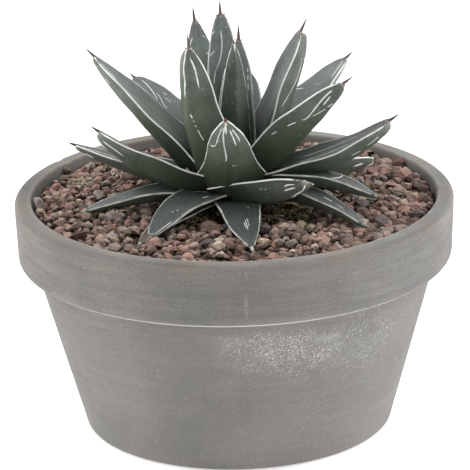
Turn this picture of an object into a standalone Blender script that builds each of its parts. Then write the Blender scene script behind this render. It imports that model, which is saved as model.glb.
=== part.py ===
"""A queen victoria agave in a round clay pan, modelled at its real size.

The pan is one turned piece with a drain hole. Soil fills it, crushed lava covers the soil, and the plant
stands in a plain hole in both. Each leaf of the rosette is a solid of its own, lofted along its own curve
from the stem out to its spine. Leaves clasp each other at the base, so an older leaf is cut to fit round
the younger ones that it holds.

Metres, +Z up, with the origin at the middle of the pan's underside.
"""
import math
from collections import namedtuple

import bmesh
import bpy
import numpy as np
from mathutils import Matrix

MM = 0.001
OBJECT_NAME = "potted_queen_victoria_agave"

# The pan: every radius follows the rim's, and every height the pan's own.
RIM_RADIUS = 105.0 * MM
POT_HEIGHT = 113.0 * MM
LIP_WIDTH = 8.1 * MM
LIP_ROUNDING = 2.7 * MM
COLLAR_HEIGHT = 30.8 * MM
COLLAR_TAPER = 1.0 * MM
COLLAR_ROUNDING = 4.1 * MM
BODY_TOP_RADIUS = 96.0 * MM
BASE_RADIUS = 73.4 * MM
FOOT_ROUNDING = 2.8 * MM
WALL = 7.0 * MM
FLOOR = 8.0 * MM
DRAIN_RADIUS = 9.0 * MM
POT_STEPS = 52

# What fills the pan.
CLEARANCE = 0.3 * MM
SOIL_TOP = 102.6 * MM
SOIL_STEPS = 32
STEM_RADIUS = 5.0 * MM
STEM_FOOT = 88.0 * MM
STEM_TOP = 116.5 * MM

# The stones lie on a low ring of gravel, which dips towards the plant.
BED_HEIGHTS = ((9.0, 104.0), (34.0, 104.6), (58.0, 106.6), (78.0, 106.8), (96.2, 105.6))
STONE_COUNT = 158
STONE_FIELD = (15.0 * MM, 90.5 * MM)
STONE_SIZE = (5.8 * MM, 7.4 * MM)
STONE_FLATNESS = 0.6
STONE_REACH = 96.1 * MM
GOLDEN_ANGLE = math.pi * (3.0 - math.sqrt(5.0))

# The section of a leaf: a shallow channel above, a rounded keel below, and a blunt horny edge.
TAPER = 2.6
FLARE_END = 0.45
BASE_SHARE = 0.5
BASE_END = 0.2
EDGE = 1.0 * MM
CHANNEL = 0.14
SPINE_RADIUS = 0.9 * MM
STATIONS = (0.0, 0.14, 0.32, 0.52, 0.7, 0.85, 0.95, 1.0)
ACROSS_TOP = (-1.0, 0.0, 1.0)
ACROSS_UNDER = (1.0, 0.55, 0.0, -0.55, -1.0)

# The rosette, youngest leaf first. Angles are in degrees and the rest in millimetres: the way the leaf
# points, its rise at the base and at the tip, its length and width, the turn of its tip sideways, the
# twist of its blade, how much its base flares, how blunt it is (less is blunter), the height and radius at
# which it leaves the stem, the keel's depth as a share of the width, and the spine's length.
Leaf = namedtuple("Leaf", "points rise rise_at_tip length width turn twist twist_at_tip flare blunt height radius keel spine")
ROSETTE = (
    Leaf(100, 88, 89, 58, 14, 0, 0, 0, 0.22, 0.64, 120, 1, 0.40, 5.0),
    Leaf(282, 86, 86, 70, 15.5, 0, 0, 0, 0.05, 0.75, 120, 3, 0.40, 1.5),
    Leaf(72, 75, 88, 67, 18, 0, 0, 0, 0.22, 0.64, 120, 3, 0.40, 6.0),
    Leaf(105, 77, 83, 80, 19, 1, 0, 0, 0.22, 0.50, 119, 3, 0.40, 5.5),
    Leaf(122, 62, 76, 78, 24, 0, 0, 0, 0.22, 0.64, 119, 4, 0.40, 6.0),
    Leaf(14, 74, 61, 77, 29, 0, 0, -7, 0.20, 0.38, 119, 5, 0.44, 6.0),
    Leaf(227, 64, 80, 76, 30, 0, 0, 0, 0.22, 0.58, 120, 5, 0.38, 5.5),
    Leaf(76, 46, 55, 54, 22, 0, 0, 0, 0.22, 0.64, 119, 5, 0.38, 1.5),
    Leaf(95, 36, 30, 64, 24, 0, 0, 0, 0.22, 0.64, 119, 6, 0.36, 5.0),
    Leaf(337, 52, 36, 71, 29, 0, -16, -26, 0.16, 0.52, 124, 6, 0.40, 5.0),
    Leaf(171, 45, 42, 82, 28, 0, 0, 3, 0.30, 0.64, 123, 6, 0.40, 5.5),
    Leaf(267, 46, 40, 73, 25, 0, 0, 0, 0.95, 0.80, 118, 5, 0.36, 3.0),
    Leaf(30, 52, 30, 77, 33, 0, 0, -6, 0.22, 0.60, 119, 6, 0.34, 4.0),
    Leaf(144, 50, 30, 68, 32, 0, 0, 0, 0.22, 0.50, 118, 6, 0.36, 1.5),
    Leaf(351, 8, 32.5, 74, 26, 0, 0, 0, 0.20, 0.42, 125.5, 6, 0.42, 5.5),
    Leaf(193, 21, 31, 63.5, 26, -20, 12, 16, 0.35, 0.44, 120, 7, 0.40, 4.5),
    Leaf(125, 22, 18, 62, 24, 0, 0, 0, 0.22, 0.64, 118, 6, 0.36, 5.0),
    Leaf(60, 24, 20, 64, 24, 0, 0, 0, 0.22, 0.64, 118, 6, 0.36, 5.0),
    Leaf(301, 16, 17, 60, 28, 0, -4, -22, 0.75, 0.42, 119, 7, 0.38, 1.0),
    Leaf(174, 15, 16, 72, 22, 0, 0, 12, 0.30, 0.60, 117, 6, 0.34, 4.5),
    Leaf(37, 8, 4, 60, 22, 0, 0, 0, 0.22, 0.64, 117, 6, 0.32, 4.5),
    Leaf(153, 9, 5, 58, 22, 0, 0, 0, 0.22, 0.64, 117, 6, 0.32, 4.5),
    Leaf(341, 20, -28, 68, 18, -2, 0, -10, 0.30, 0.64, 122, 6, 0.44, 3.0),
    Leaf(15, 5, 3, 64, 20, 0, -30, -40, 0.22, 0.55, 118, 6, 0.40, 3.5),
    Leaf(80, 10, -8, 60, 20, 0, 0, 0, 0.22, 0.64, 116, 6, 0.30, 4.0),
    Leaf(325, 16, -28, 73, 19, -8, -4, -18, 0.35, 0.60, 118, 6, 0.38, 3.0),
    Leaf(274, 8, -22, 65, 22, 8, 0, 0, 0.30, 0.85, 116, 6, 0.26, 6.5),
    Leaf(230, 14, -30, 62, 22, 9, 0, 0, 0.35, 0.75, 117, 6, 0.28, 4.0),
    Leaf(193, 12, -21, 69, 18, 0, 0, 6, 0.35, 0.66, 116, 6, 0.36, 1.5),
    Leaf(112, 9, -12, 60, 20, 0, 0, 0, 0.22, 0.64, 115, 6, 0.28, 3.5),
    Leaf(228, 7, -18, 66, 15, 9, 0, 0, 0.22, 0.64, 113, 6, 0.22, 1.5),
)


def clear_scene():
    for item in list(bpy.data.objects):
        bpy.data.objects.remove(item)


def new_collection(name):
    group = bpy.data.collections.new(name)
    bpy.context.scene.collection.children.link(group)
    return group


def material(name, colour, roughness):
    finish = bpy.data.materials.new(name)
    finish.use_nodes = True
    shader = finish.node_tree.nodes["Principled BSDF"]
    shader.inputs["Base Color"].default_value = (*colour, 1.0)
    shader.inputs["Roughness"].default_value = roughness
    shader.inputs["Metallic"].default_value = 0.0
    finish.diffuse_color = (*colour, 1.0)
    return finish


def mesh_object(name, points, faces, group, finish=None):
    """A mesh whose faces are turned to point out."""
    mesh = bpy.data.meshes.new(name)
    mesh.from_pydata([tuple(p) for p in points], [], faces)
    shape = bmesh.new()
    shape.from_mesh(mesh)
    bmesh.ops.recalc_face_normals(shape, faces=shape.faces)
    shape.to_mesh(mesh)
    shape.free()
    item = bpy.data.objects.new(name, mesh)
    group.objects.link(item)
    if finish:
        mesh.materials.append(finish)
    return item


def turned(name, profile, steps, group, finish, closed):
    """A profile of (radius, height) points turned round Z, down its outer side first."""
    points = [(radius, 0.0, height) for radius, height in profile]
    edges = [(i, i + 1) for i in range(len(points) - 1)]
    if closed:
        edges.append((len(points) - 1, 0))
    mesh = bpy.data.meshes.new(name)
    mesh.from_pydata(points, edges, [])
    item = bpy.data.objects.new(name, mesh)
    group.objects.link(item)
    mesh.materials.append(finish)
    screw = item.modifiers.new("turn", "SCREW")
    screw.axis = "Z"
    screw.steps = steps
    screw.render_steps = steps
    screw.use_merge_vertices = True
    screw.merge_threshold = 0.00001
    screw.use_smooth_shade = False
    return item


def arc(centre, radius, start, end, count):
    """Points of an arc of a profile, from one angle in degrees to another."""
    angles = np.radians(np.linspace(start, end, count))
    return [(centre[0] + radius * math.cos(a), centre[1] + radius * math.sin(a)) for a in angles]


def applied(item, name, group, finish):
    """The object's evaluated mesh as a new object, in place of the old one."""
    graph = bpy.context.evaluated_depsgraph_get()
    mesh = bpy.data.meshes.new_from_object(item.evaluated_get(graph))
    mesh.name = name
    mesh.materials.clear()
    mesh.materials.append(finish)
    bpy.data.objects.remove(item)
    result = bpy.data.objects.new(name, mesh)
    group.objects.link(result)
    return result


def keep_largest(item):
    """Drops the scraps that a cut leaves beside the main body."""
    shape = bmesh.new()
    shape.from_mesh(item.data)
    bmesh.ops.triangulate(shape, faces=shape.faces)
    left = set(shape.faces)
    bodies = []
    while left:
        body = {left.pop()}
        rim = set(body)
        while rim:
            edges = {edge for face in rim for edge in face.edges if len(edge.link_faces) == 2}
            rim = {near for edge in edges for near in edge.link_faces} - body
            body |= rim
        left -= body
        bodies.append(body)
    bodies.sort(key=lambda body: sum(face.calc_area() for face in body))
    for scrap in bodies[:-1]:
        bmesh.ops.delete(shape, geom=list(scrap), context="FACES")
    shape.to_mesh(item.data)
    shape.free()


def pot(group):
    """The pan: a thick collar over a straight tapering body, one piece of clay with a drain hole."""
    collar_foot = POT_HEIGHT - COLLAR_HEIGHT
    side_foot = RIM_RADIUS - COLLAR_TAPER
    slope = math.degrees(math.atan2(collar_foot, BODY_TOP_RADIUS - BASE_RADIUS))
    profile = arc((RIM_RADIUS - LIP_ROUNDING, POT_HEIGHT - LIP_ROUNDING), LIP_ROUNDING, 90, 0, 4)
    profile += arc((side_foot - COLLAR_ROUNDING, collar_foot + COLLAR_ROUNDING), COLLAR_ROUNDING, 0, -90, 4)
    profile.append((BODY_TOP_RADIUS, collar_foot))
    profile += arc((BASE_RADIUS - 0.7 * FOOT_ROUNDING, FOOT_ROUNDING), FOOT_ROUNDING, slope - 90, -90, 3)
    profile += [(DRAIN_RADIUS, 0.0), (DRAIN_RADIUS, FLOOR), (BASE_RADIUS - WALL, FLOOR)]
    profile += [(BODY_TOP_RADIUS - WALL, collar_foot + 2 * MM)]
    profile += [(RIM_RADIUS - LIP_WIDTH - 0.3 * MM, POT_HEIGHT - 17 * MM)]
    profile += arc((RIM_RADIUS - LIP_WIDTH + 1.2 * MM, POT_HEIGHT - 1.2 * MM), 1.2 * MM, 180, 90, 3)
    clay = material("fired clay", (0.262, 0.242, 0.223), 0.85)
    return turned("pot", profile, POT_STEPS, group, clay, closed=True)


def soil(group):
    """Potting soil: it fills the pan up to the gravel, with a plain hole for the stem."""
    collar_foot = POT_HEIGHT - COLLAR_HEIGHT
    wide = RIM_RADIUS - LIP_WIDTH - 0.9 * MM
    hole = STEM_RADIUS + CLEARANCE
    profile = [
        (0.0, STEM_FOOT - CLEARANCE),
        (hole, STEM_FOOT - CLEARANCE),
        (hole, SOIL_TOP),
        (wide, SOIL_TOP),
        (wide, POT_HEIGHT - 16.5 * MM),
        (BODY_TOP_RADIUS - WALL - 0.4 * MM, collar_foot + 2.6 * MM),
        (BASE_RADIUS - WALL - 0.4 * MM, FLOOR + CLEARANCE),
        (0.0, FLOOR + CLEARANCE),
    ]
    earth = material("potting soil", (0.045, 0.030, 0.021), 0.95)
    return turned("soil", profile, SOIL_STEPS, group, earth, closed=False)


def stem(group):
    """The short stem that carries the rosette, rooted in the soil's hole."""
    profile = [
        (0.0, STEM_TOP),
        (0.6 * STEM_RADIUS, STEM_TOP),
        (STEM_RADIUS, STEM_TOP - 4 * MM),
        (STEM_RADIUS, STEM_FOOT + 3 * MM),
        (0.6 * STEM_RADIUS, STEM_FOOT),
        (0.0, STEM_FOOT),
    ]
    wood = material("stem", (0.190, 0.150, 0.085), 0.8)
    return turned("stem", profile, 16, group, wood, closed=False)


def half_width(leaf, s, grow):
    """Half the leaf's width at a share s of its length: an ogive, flared and then drawn in at the base."""
    ogive = (1.0 - np.clip(s, 0.0, 1.0) ** TAPER) ** leaf.blunt
    flare = leaf.flare * np.clip(1.0 - s / FLARE_END, 0.0, 1.0) ** 2
    ramp = np.clip(s / BASE_END, 0.0, 1.0)
    waist = BASE_SHARE + (1.0 - BASE_SHARE) * ramp * ramp * (3.0 - 2.0 * ramp)
    return np.maximum(0.5 * leaf.width * MM * (ogive + flare) * waist, SPINE_RADIUS) + grow


def leaf_line(leaf, s):
    """Points along the leaf's middle, with its own forward, side and upper directions there."""
    fine = np.linspace(0.0, 1.0, 121)
    rise = np.radians(leaf.rise + (leaf.rise_at_tip - leaf.rise) * fine)
    heading = np.radians(leaf.points + leaf.turn * fine ** 2)
    forward = np.stack([np.cos(rise) * np.cos(heading), np.cos(rise) * np.sin(heading), np.sin(rise)], 1)
    level = np.stack([-np.sin(heading), np.cos(heading), 0.0 * heading], 1)
    twist = np.radians(leaf.twist + (leaf.twist_at_tip - leaf.twist) * fine)[:, None]
    side = np.cos(twist) * level + np.sin(twist) * np.cross(forward, level)
    step = leaf.length * MM / (len(fine) - 1)
    middle = np.vstack([np.zeros(3), np.cumsum((forward[1:] + forward[:-1]) / 2.0, axis=0) * step])
    away = math.radians(leaf.points)
    middle += np.array([leaf.radius * math.cos(away), leaf.radius * math.sin(away), leaf.height]) * MM
    place, forward, side = [
        np.stack([np.interp(s, fine, values[:, axis]) for axis in range(3)], 1)
        for values in (middle, forward, side)
    ]
    return place, forward, side, np.cross(forward, side)


def leaf_shape(leaf, grow=0.0):
    """Rings of points round the leaf, from its base to its spine's tip, and the faces between them.

    A ring runs across the channelled upper face and back under the keel. grow moves every ring out by that
    much, which gives the space that the leaf keeps clear.
    """
    s = np.array(STATIONS)
    place, forward, side, upper = leaf_line(leaf, s)
    place[0] -= grow * forward[0]
    width = half_width(leaf, s, grow)
    edge = 0.5 * np.minimum(EDGE, width) + grow
    thin = 0.6 + 0.4 * np.clip(s / BASE_END, 0.0, 1.0)
    depth = (leaf.keel * 2.0 * width * (1.0 - 0.25 * s) + 0.6 * MM) * thin
    dip = CHANNEL * width * (1.0 - 0.6 * s)
    rings = []
    for across in ACROSS_TOP:
        height = edge - dip * (1.0 - across ** 2)
        rings.append(place + side * (width * across)[:, None] + upper * height[:, None])
    for across in ACROSS_UNDER:
        height = -edge - depth * (1.0 - abs(across) ** 1.5)
        rings.append(place + side * (width * across)[:, None] + upper * height[:, None])
    rings = np.stack(rings, 1)
    spine = leaf.spine * MM + 2.0 * grow
    centre = rings[-1].mean(axis=0)
    neck = centre + 0.55 * (rings[-1] - centre) + 0.45 * spine * forward[-1]
    points = np.vstack([rings.reshape(-1, 3), neck, (centre + spine * forward[-1])[None]])
    count = rings.shape[1]
    rows = len(STATIONS) + 1
    faces = [tuple(range(count))]
    for row in range(rows - 1):
        for i in range(count):
            j = (i + 1) % count
            faces.append((row * count + i, row * count + j, (row + 1) * count + j))
            faces.append((row * count + i, (row + 1) * count + j, (row + 1) * count + i))
    tip = rows * count
    faces += [(tip - count + i, tip - count + (i + 1) % count, tip) for i in range(count)]
    return points, faces


def cut_to_fit(item, cutters, name, group, finish):
    """The object less everything in the collection of cutters."""
    cut = item.modifiers.new("fit", "BOOLEAN")
    cut.operation = "DIFFERENCE"
    cut.operand_type = "COLLECTION"
    cut.collection = cutters
    cut.solver = "MANIFOLD"
    result = applied(item, name, group, finish)
    keep_largest(result)
    return result


def space_kept_by_stem(group):
    """The stem's upper end, grown by the clearance."""
    height = STEM_TOP - STEM_FOOT + CLEARANCE
    radius = STEM_RADIUS + 1.5 * CLEARANCE
    shape = bmesh.new()
    bmesh.ops.create_cone(shape, cap_ends=True, segments=16, radius1=radius, radius2=radius, depth=height)
    mesh = bpy.data.meshes.new("stem_space")
    shape.to_mesh(mesh)
    shape.free()
    mesh.transform(Matrix.Translation((0.0, 0.0, STEM_FOOT + height / 2.0)))
    group.objects.link(bpy.data.objects.new("stem_space", mesh))


def leaves(group, cutters):
    """Every leaf from the youngest out, each cut to fit round those before it."""
    flesh = material("agave leaf", (0.102, 0.127, 0.091), 0.55)
    space_kept_by_stem(cutters)
    for number, leaf in enumerate(ROSETTE, 1):
        name = f"leaf_{number:02d}"
        whole = mesh_object(name + "_whole", *leaf_shape(leaf), group, flesh)
        cut_to_fit(whole, cutters, name, group, flesh)
        mesh_object(name + "_space", *leaf_shape(leaf, CLEARANCE), cutters)


def stones(group):
    """Rough stones on a sunflower spiral, each a squashed and dented ball half sunk in the bed."""
    draw = np.random.default_rng(7)
    inner, outer = STONE_FIELD
    for number in range(STONE_COUNT):
        share = (number + 0.5) / STONE_COUNT
        radius = math.sqrt(inner ** 2 + share * (outer ** 2 - inner ** 2)) + draw.uniform(-0.8, 0.8) * MM
        angle = number * GOLDEN_ANGLE + draw.uniform(-0.03, 0.03)
        bed = np.interp(radius / MM, *np.array(BED_HEIGHTS).T) * MM
        size = draw.uniform(*STONE_SIZE)
        shape = bmesh.new()
        bmesh.ops.create_icosphere(shape, subdivisions=1, radius=1.0)
        ball = np.array([v.co for v in shape.verts])
        faces = [tuple(v.index for v in face.verts) for face in shape.faces]
        shape.free()
        turn = draw.uniform(0.0, math.tau)
        turned_ball = np.stack([
            ball[:, 0] * math.cos(turn) - ball[:, 1] * math.sin(turn),
            ball[:, 0] * math.sin(turn) + ball[:, 1] * math.cos(turn),
            ball[:, 2],
        ], 1) * draw.uniform(0.86, 1.12, (len(ball), 1))
        stretch = draw.uniform(0.85, 1.1)
        points = turned_ball * size * np.array([stretch, 1.0 / stretch, STONE_FLATNESS])
        points += np.array([radius * math.cos(angle), radius * math.sin(angle), bed + 0.3 * MM])
        beyond = np.maximum(np.hypot(points[:, 0], points[:, 1]) / STONE_REACH, 1.0)
        points[:, :2] /= beyond[:, None]
        points[:, 2] = np.maximum(points[:, 2], SOIL_TOP + 0.8 * MM)
        mesh_object(f"stone_{number:03d}", points, faces, group)


def gravel(group, cutters):
    """The lava gravel: a low bed with the stones fused into it, hollowed where a leaf lies on it."""
    bottom = SOIL_TOP + CLEARANCE
    profile = [(radius * MM, height * MM) for radius, height in BED_HEIGHTS]
    profile += [(profile[-1][0], bottom), (profile[0][0], bottom)]
    lava = material("crushed lava", (0.156, 0.102, 0.080), 0.92)
    bed = turned("bed", profile, 48, group, lava, closed=True)
    loose = new_collection("stones")
    stones(loose)
    fuse = bed.modifiers.new("fuse", "BOOLEAN")
    fuse.operation = "UNION"
    fuse.operand_type = "COLLECTION"
    fuse.collection = loose
    fuse.solver = "MANIFOLD"
    fused = applied(bed, "gravel_whole", group, lava)
    for item in list(loose.objects):
        bpy.data.objects.remove(item)
    bpy.data.collections.remove(loose)
    return cut_to_fit(fused, cutters, "gravel", group, lava)


def main():
    clear_scene()
    parts = new_collection(OBJECT_NAME)
    cutters = new_collection("cutters")
    pot(parts)
    soil(parts)
    stem(parts)
    leaves(parts, cutters)
    gravel(parts, cutters)
    for item in list(cutters.objects):
        bpy.data.objects.remove(item)
    bpy.data.collections.remove(cutters)


main()
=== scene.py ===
"""A queen victoria agave in a round clay pan, dressed for its studio picture.

Lengths are in metres and +Z is up. The sections follow the object as it is put together: the studio, the
pan, the soil, the leaves with their horny edges, bud prints and spines, the stem, the gravel, and last the
crumbs, moss and dry bits that lie about the plant.
"""

import math
from collections import namedtuple
from functools import cache

import bmesh
import bpy
import numpy as np
from mathutils import Matrix


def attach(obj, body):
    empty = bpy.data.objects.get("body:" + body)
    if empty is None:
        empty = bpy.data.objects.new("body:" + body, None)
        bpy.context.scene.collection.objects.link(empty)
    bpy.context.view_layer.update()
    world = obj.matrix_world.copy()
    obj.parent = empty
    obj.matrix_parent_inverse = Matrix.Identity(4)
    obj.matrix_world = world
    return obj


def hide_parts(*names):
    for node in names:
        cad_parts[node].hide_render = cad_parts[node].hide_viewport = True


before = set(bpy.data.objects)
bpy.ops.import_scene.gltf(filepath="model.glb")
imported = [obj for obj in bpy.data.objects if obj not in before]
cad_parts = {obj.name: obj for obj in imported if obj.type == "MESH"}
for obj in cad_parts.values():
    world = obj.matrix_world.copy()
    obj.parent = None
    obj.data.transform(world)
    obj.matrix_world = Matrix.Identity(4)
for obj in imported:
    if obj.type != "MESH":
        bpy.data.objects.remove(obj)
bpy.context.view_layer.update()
MM = 0.001


# The studio: a camera with a long lens looks down on the plant a little, and leans by just over a degree.
# A white floor and a white tent round it give light from all sides, least from the camera's own side.
LENS = 292.3
SENSOR_WIDTH = 36.0
NEAREST_VIEW = 0.1
CAMERA_RISE = 0.3353
CAMERA_LEAN = 0.0244
CAMERA_DISTANCE = 1832.9 * MM
AIM_HEIGHT = 91.6 * MM
FLOOR_SIZE = 6.0
WHITE = (1.0, 1.0, 1.0, 1.0)
PAPER = {"Base Color": (0.93, 0.93, 0.93, 1.0), "Roughness": 0.9, "Specular IOR Level": 0.1,
         "Emission Color": WHITE, "Emission Strength": 0.35}
TENT_FADE = {"From Min": -0.95, "From Max": 0.25, "To Min": 0.42, "To Max": 1.15}
SOFTBOX_SIZE = 0.9
SOFTBOX_POWERS = ((-1, 9.0), (1, 10.0))
SOFTBOX_PLACE = (1.1, 0.15, 0.75)
SOFTBOX_AIM_HEIGHT = 0.10

out_of_view = np.array([0.0, -math.cos(CAMERA_RISE), math.sin(CAMERA_RISE)])
level_right = np.array([1.0, 0.0, 0.0])
level_up = np.cross(out_of_view, level_right)
view_right = math.cos(CAMERA_LEAN) * level_right - math.sin(CAMERA_LEAN) * level_up
view_up = math.sin(CAMERA_LEAN) * level_right + math.cos(CAMERA_LEAN) * level_up
camera_data = bpy.data.cameras.new("camera")
camera_data.sensor_width = SENSOR_WIDTH
camera_data.lens = LENS
camera_data.clip_start = NEAREST_VIEW
camera = bpy.data.objects.new("camera", camera_data)
placing = np.eye(4)
placing[:3, 0] = view_right
placing[:3, 1] = view_up
placing[:3, 2] = out_of_view
placing[:3, 3] = np.array([0.0, 0.0, AIM_HEIGHT]) + CAMERA_DISTANCE * out_of_view
camera.matrix_world = Matrix(placing.tolist())
bpy.context.scene.collection.objects.link(camera)
bpy.context.scene.camera = camera


def add_node(tree, kind, inputs=(), **settings):
    """A node of a tree. Its settings come first, and each input takes a value or another node's output."""
    node = tree.nodes.new("ShaderNode" + kind)
    for key, value in settings.items():
        setattr(node, key, value)
    for key, value in dict(inputs).items():
        if hasattr(value, "is_output"):
            tree.links.new(value, node.inputs[key])
        else:
            node.inputs[key].default_value = value
    return node


def sheet_mesh(name, points, faces, material, smooth=True, closed=True):
    """An object at the origin whose mesh holds these points and faces.

    A closed piece gets a flat cap on each open ring, and its faces are turned to point outwards.
    """
    mesh = bpy.data.meshes.new(name)
    points = np.asarray(points, float).reshape(-1, 3)
    faces = np.asarray(faces, int)
    corners = faces.shape[1]
    mesh.vertices.add(len(points))
    mesh.vertices.foreach_set("co", points.ravel())
    mesh.loops.add(faces.size)
    mesh.loops.foreach_set("vertex_index", faces.ravel())
    mesh.polygons.add(len(faces))
    mesh.polygons.foreach_set("loop_start", np.arange(0, faces.size, corners))
    mesh.polygons.foreach_set("use_smooth", np.full(len(faces), smooth))
    mesh.update(calc_edges=True)
    mesh.validate()
    if closed:
        shell = bmesh.new()
        shell.from_mesh(mesh)
        rims = [edge for edge in shell.edges if edge.is_boundary]
        for cap in bmesh.ops.holes_fill(shell, edges=rims, sides=0)["faces"]:
            cap.smooth = False
        bmesh.ops.recalc_face_normals(shell, faces=shell.faces)
        shell.to_mesh(mesh)
        shell.free()
    mesh.materials.append(material)
    item = bpy.data.objects.new(name, mesh)
    bpy.context.scene.collection.objects.link(item)
    return item


paper = bpy.data.materials.new("white paper")
paper.use_nodes = True
for socket, value in PAPER.items():
    paper.node_tree.nodes["Principled BSDF"].inputs[socket].default_value = value
half_floor = FLOOR_SIZE / 2.0
floor_corners = [(x * half_floor, y * half_floor, 0.0) for x, y in ((-1, -1), (1, -1), (1, 1), (-1, 1))]
floor = sheet_mesh("studio_floor", floor_corners, [(0, 1, 2, 3)], paper, closed=False)

tent = bpy.data.worlds.new("light tent")
tent.use_nodes = True
looking = add_node(tent.node_tree, "TexCoord").outputs["Generated"]
ahead = add_node(tent.node_tree, "SeparateXYZ", {0: looking}).outputs["Y"]
fade = add_node(tent.node_tree, "MapRange", {"Value": ahead, **TENT_FADE})
sky = tent.node_tree.nodes["Background"]
sky.inputs["Color"].default_value = WHITE
tent.node_tree.links.new(fade.outputs["Result"], sky.inputs["Strength"])
bpy.context.scene.world = tent

for side, power in SOFTBOX_POWERS:
    lamp_data = bpy.data.lights.new("softbox", "AREA")
    lamp_data.shape = "RECTANGLE"
    lamp_data.size = SOFTBOX_SIZE
    lamp_data.size_y = SOFTBOX_SIZE
    lamp_data.energy = power
    lamp = bpy.data.objects.new("softbox", lamp_data)
    there = np.array([side * SOFTBOX_PLACE[0], *SOFTBOX_PLACE[1:]])
    lamp.location = there
    away = there - (0.0, 0.0, SOFTBOX_AIM_HEIGHT)
    away /= np.linalg.norm(away)
    along = np.array([0.0, side, 0.0])
    lamp.rotation_euler = Matrix(np.stack([along, np.cross(away, along), away], 1).tolist()).to_euler()
    bpy.context.scene.collection.objects.link(lamp)
bpy.context.scene.view_settings.view_transform = "Standard"


# The pan: grey fired clay, turned in one piece, with a thick collar over a tapering body.
# Its bare surface keeps the lines of the turning, and lime from the water has dried on it.
RIM_RADIUS = 105.0 * MM
PAN_HEIGHT = 113.0 * MM
COLLAR_FOOT = 82.2 * MM
SIDE_FOOT_RADIUS = 104.0 * MM
BODY_TOP_RADIUS = 96.0 * MM
BASE_RADIUS = 73.4 * MM
BASE_INSET = 1.96 * MM
DRAIN_RADIUS = 9.0 * MM
PAN_FLOOR = 8.0 * MM
INNER_WALL = ((66.4 * MM, PAN_FLOOR), (89.0 * MM, 84.2 * MM), (96.6 * MM, 96.0 * MM))
LIP_RADIUS = 98.1 * MM
RIM_ROUNDING = 2.7 * MM
COLLAR_ROUNDING = 4.1 * MM
CREASE_ROUNDING = 1.0 * MM
BASE_ROUNDING = 2.8 * MM
LIP_ROUNDING = 1.2 * MM
CHIP_ANGLE = math.radians(146.0)
CHIP_HEIGHT = 1.6 * MM
CHIP_DEPTH = 0.9 * MM
PROFILE_PITCH = 1.6 * MM
PAN_STEPS = 240
# Noise on the clay is listed by its scale, detail, roughness, the values at which it starts and is full,
# how strong it then is, and its stretch. A mark is listed by its place and reach in millimetres, the shares
# of the reach at which it is full and gone, the noises that break it up, and its colour.
SALT = (1700.0, 2.0, 0.6, 0.535, 0.600)
SALT_BED = (110.0, 5.0, 0.75, 0.36, 0.56)
DRIPS = (1.0, 4.0, 0.7, 0.56, 0.68, 0.6, (330.0, 330.0, 34.0))
SMUDGES_AND_PAINTED_SHADE = (
    # A darker patch on the collar's front: painted shade.
    ((4, -104, 97), (24, 20, 13), 0.2, 1.1, ((26.0, 5.0, 0.6, 0.30, 0.60, 0.55),), (0.205, 0.194, 0.180)),
    ((44, -77, 58), (34, 26, 18), 0.2, 1.2, ((42.0, 5.0, 0.7, 0.42, 0.66, 0.20),), (0.50, 0.505, 0.50)),
    ((40, -79, 69), (9, 10, 2.4), 0.1, 1.1, (), (0.43, 0.435, 0.43)),
    # A darker patch on the body just under the collar: painted shade.
    ((57, -69, 71), (11, 12, 9), 0.2, 1.2, ((75.0, 5.0, 0.65, 0.40, 0.60, 0.6),), (0.225, 0.222, 0.212)),
    ((-7, -90, 70), (9, 12, 12), 0.1, 1.2, ((60.0, 4.0, 0.6, 0.35, 0.6, 0.5),), (0.370, 0.300, 0.287)),
    ((16, -88, 71), (31, 24, 7), 0.35, 1.15, (SALT_BED, SALT), (0.74, 0.73, 0.69)),
    ((18, -87, 64), (28, 24, 12), 0.35, 1.15, (SALT_BED, SALT), (0.74, 0.73, 0.69)),
    ((32, -81, 62), (19, 22, 16), 0.35, 1.15, (SALT_BED, SALT), (0.74, 0.73, 0.69)),
    ((60, -64, 62), (26, 30, 20), 0.4, 1.2, (SALT_BED, (1500.0, 2.5, 0.6, 0.57, 0.64)), (0.70, 0.70, 0.68)),
)
RUNS = (
    ((4.3, -104, 93), (1.5, 9, 8), 0.0, 1.0, ((500.0, 4.0, 0.7, 0.44, 0.60, 0.6),), (0.62, 0.61, 0.58)),
    ((6, -103, 104), (9, 9, 9), 0.4, 1.1, (DRIPS,), (0.52, 0.51, 0.49)),
    ((52, -78, 76), (9, 9, 13), 0.4, 1.1, (DRIPS,), (0.62, 0.62, 0.60)),
)


def bend(centre, radius, start, end, count):
    """Points (radius, height) of a rounding, from one angle in degrees to another."""
    angles = np.radians(np.linspace(start, end, count))
    return [(centre[0] + radius * math.cos(a), centre[1] + radius * math.sin(a)) for a in angles]


def ring_faces(rows, steps, tubes=1, closed=False):
    """Faces between rings of points that follow each other, on one tube or several.

    closed joins the last ring to the first, and without it the ends are left open.
    """
    bands = rows if closed else rows - 1
    tube, row, column = np.meshgrid(np.arange(tubes), np.arange(bands), np.arange(steps), indexing="ij")
    here, following = (tube * rows + row) * steps, (tube * rows + (row + 1) % rows) * steps
    beside = (column + 1) % steps
    return np.stack([here + column, here + beside, following + beside, following + column], -1).reshape(-1, 4)


def thickened(profile, pitch, closed):
    """The profile with extra points, so that none of its steps is longer than the pitch."""
    profile = np.array(profile)
    following = np.roll(profile, -1, axis=0)
    count = len(profile) if closed else len(profile) - 1
    rows = []
    for i in range(count):
        steps = max(1, int(math.ceil(np.linalg.norm(following[i] - profile[i]) / pitch)))
        share = np.arange(steps)[:, None] / steps
        rows.append(profile[i] + share * (following[i] - profile[i]))
    if not closed:
        rows.append(profile[-1:])
    return np.vstack(rows)


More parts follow.
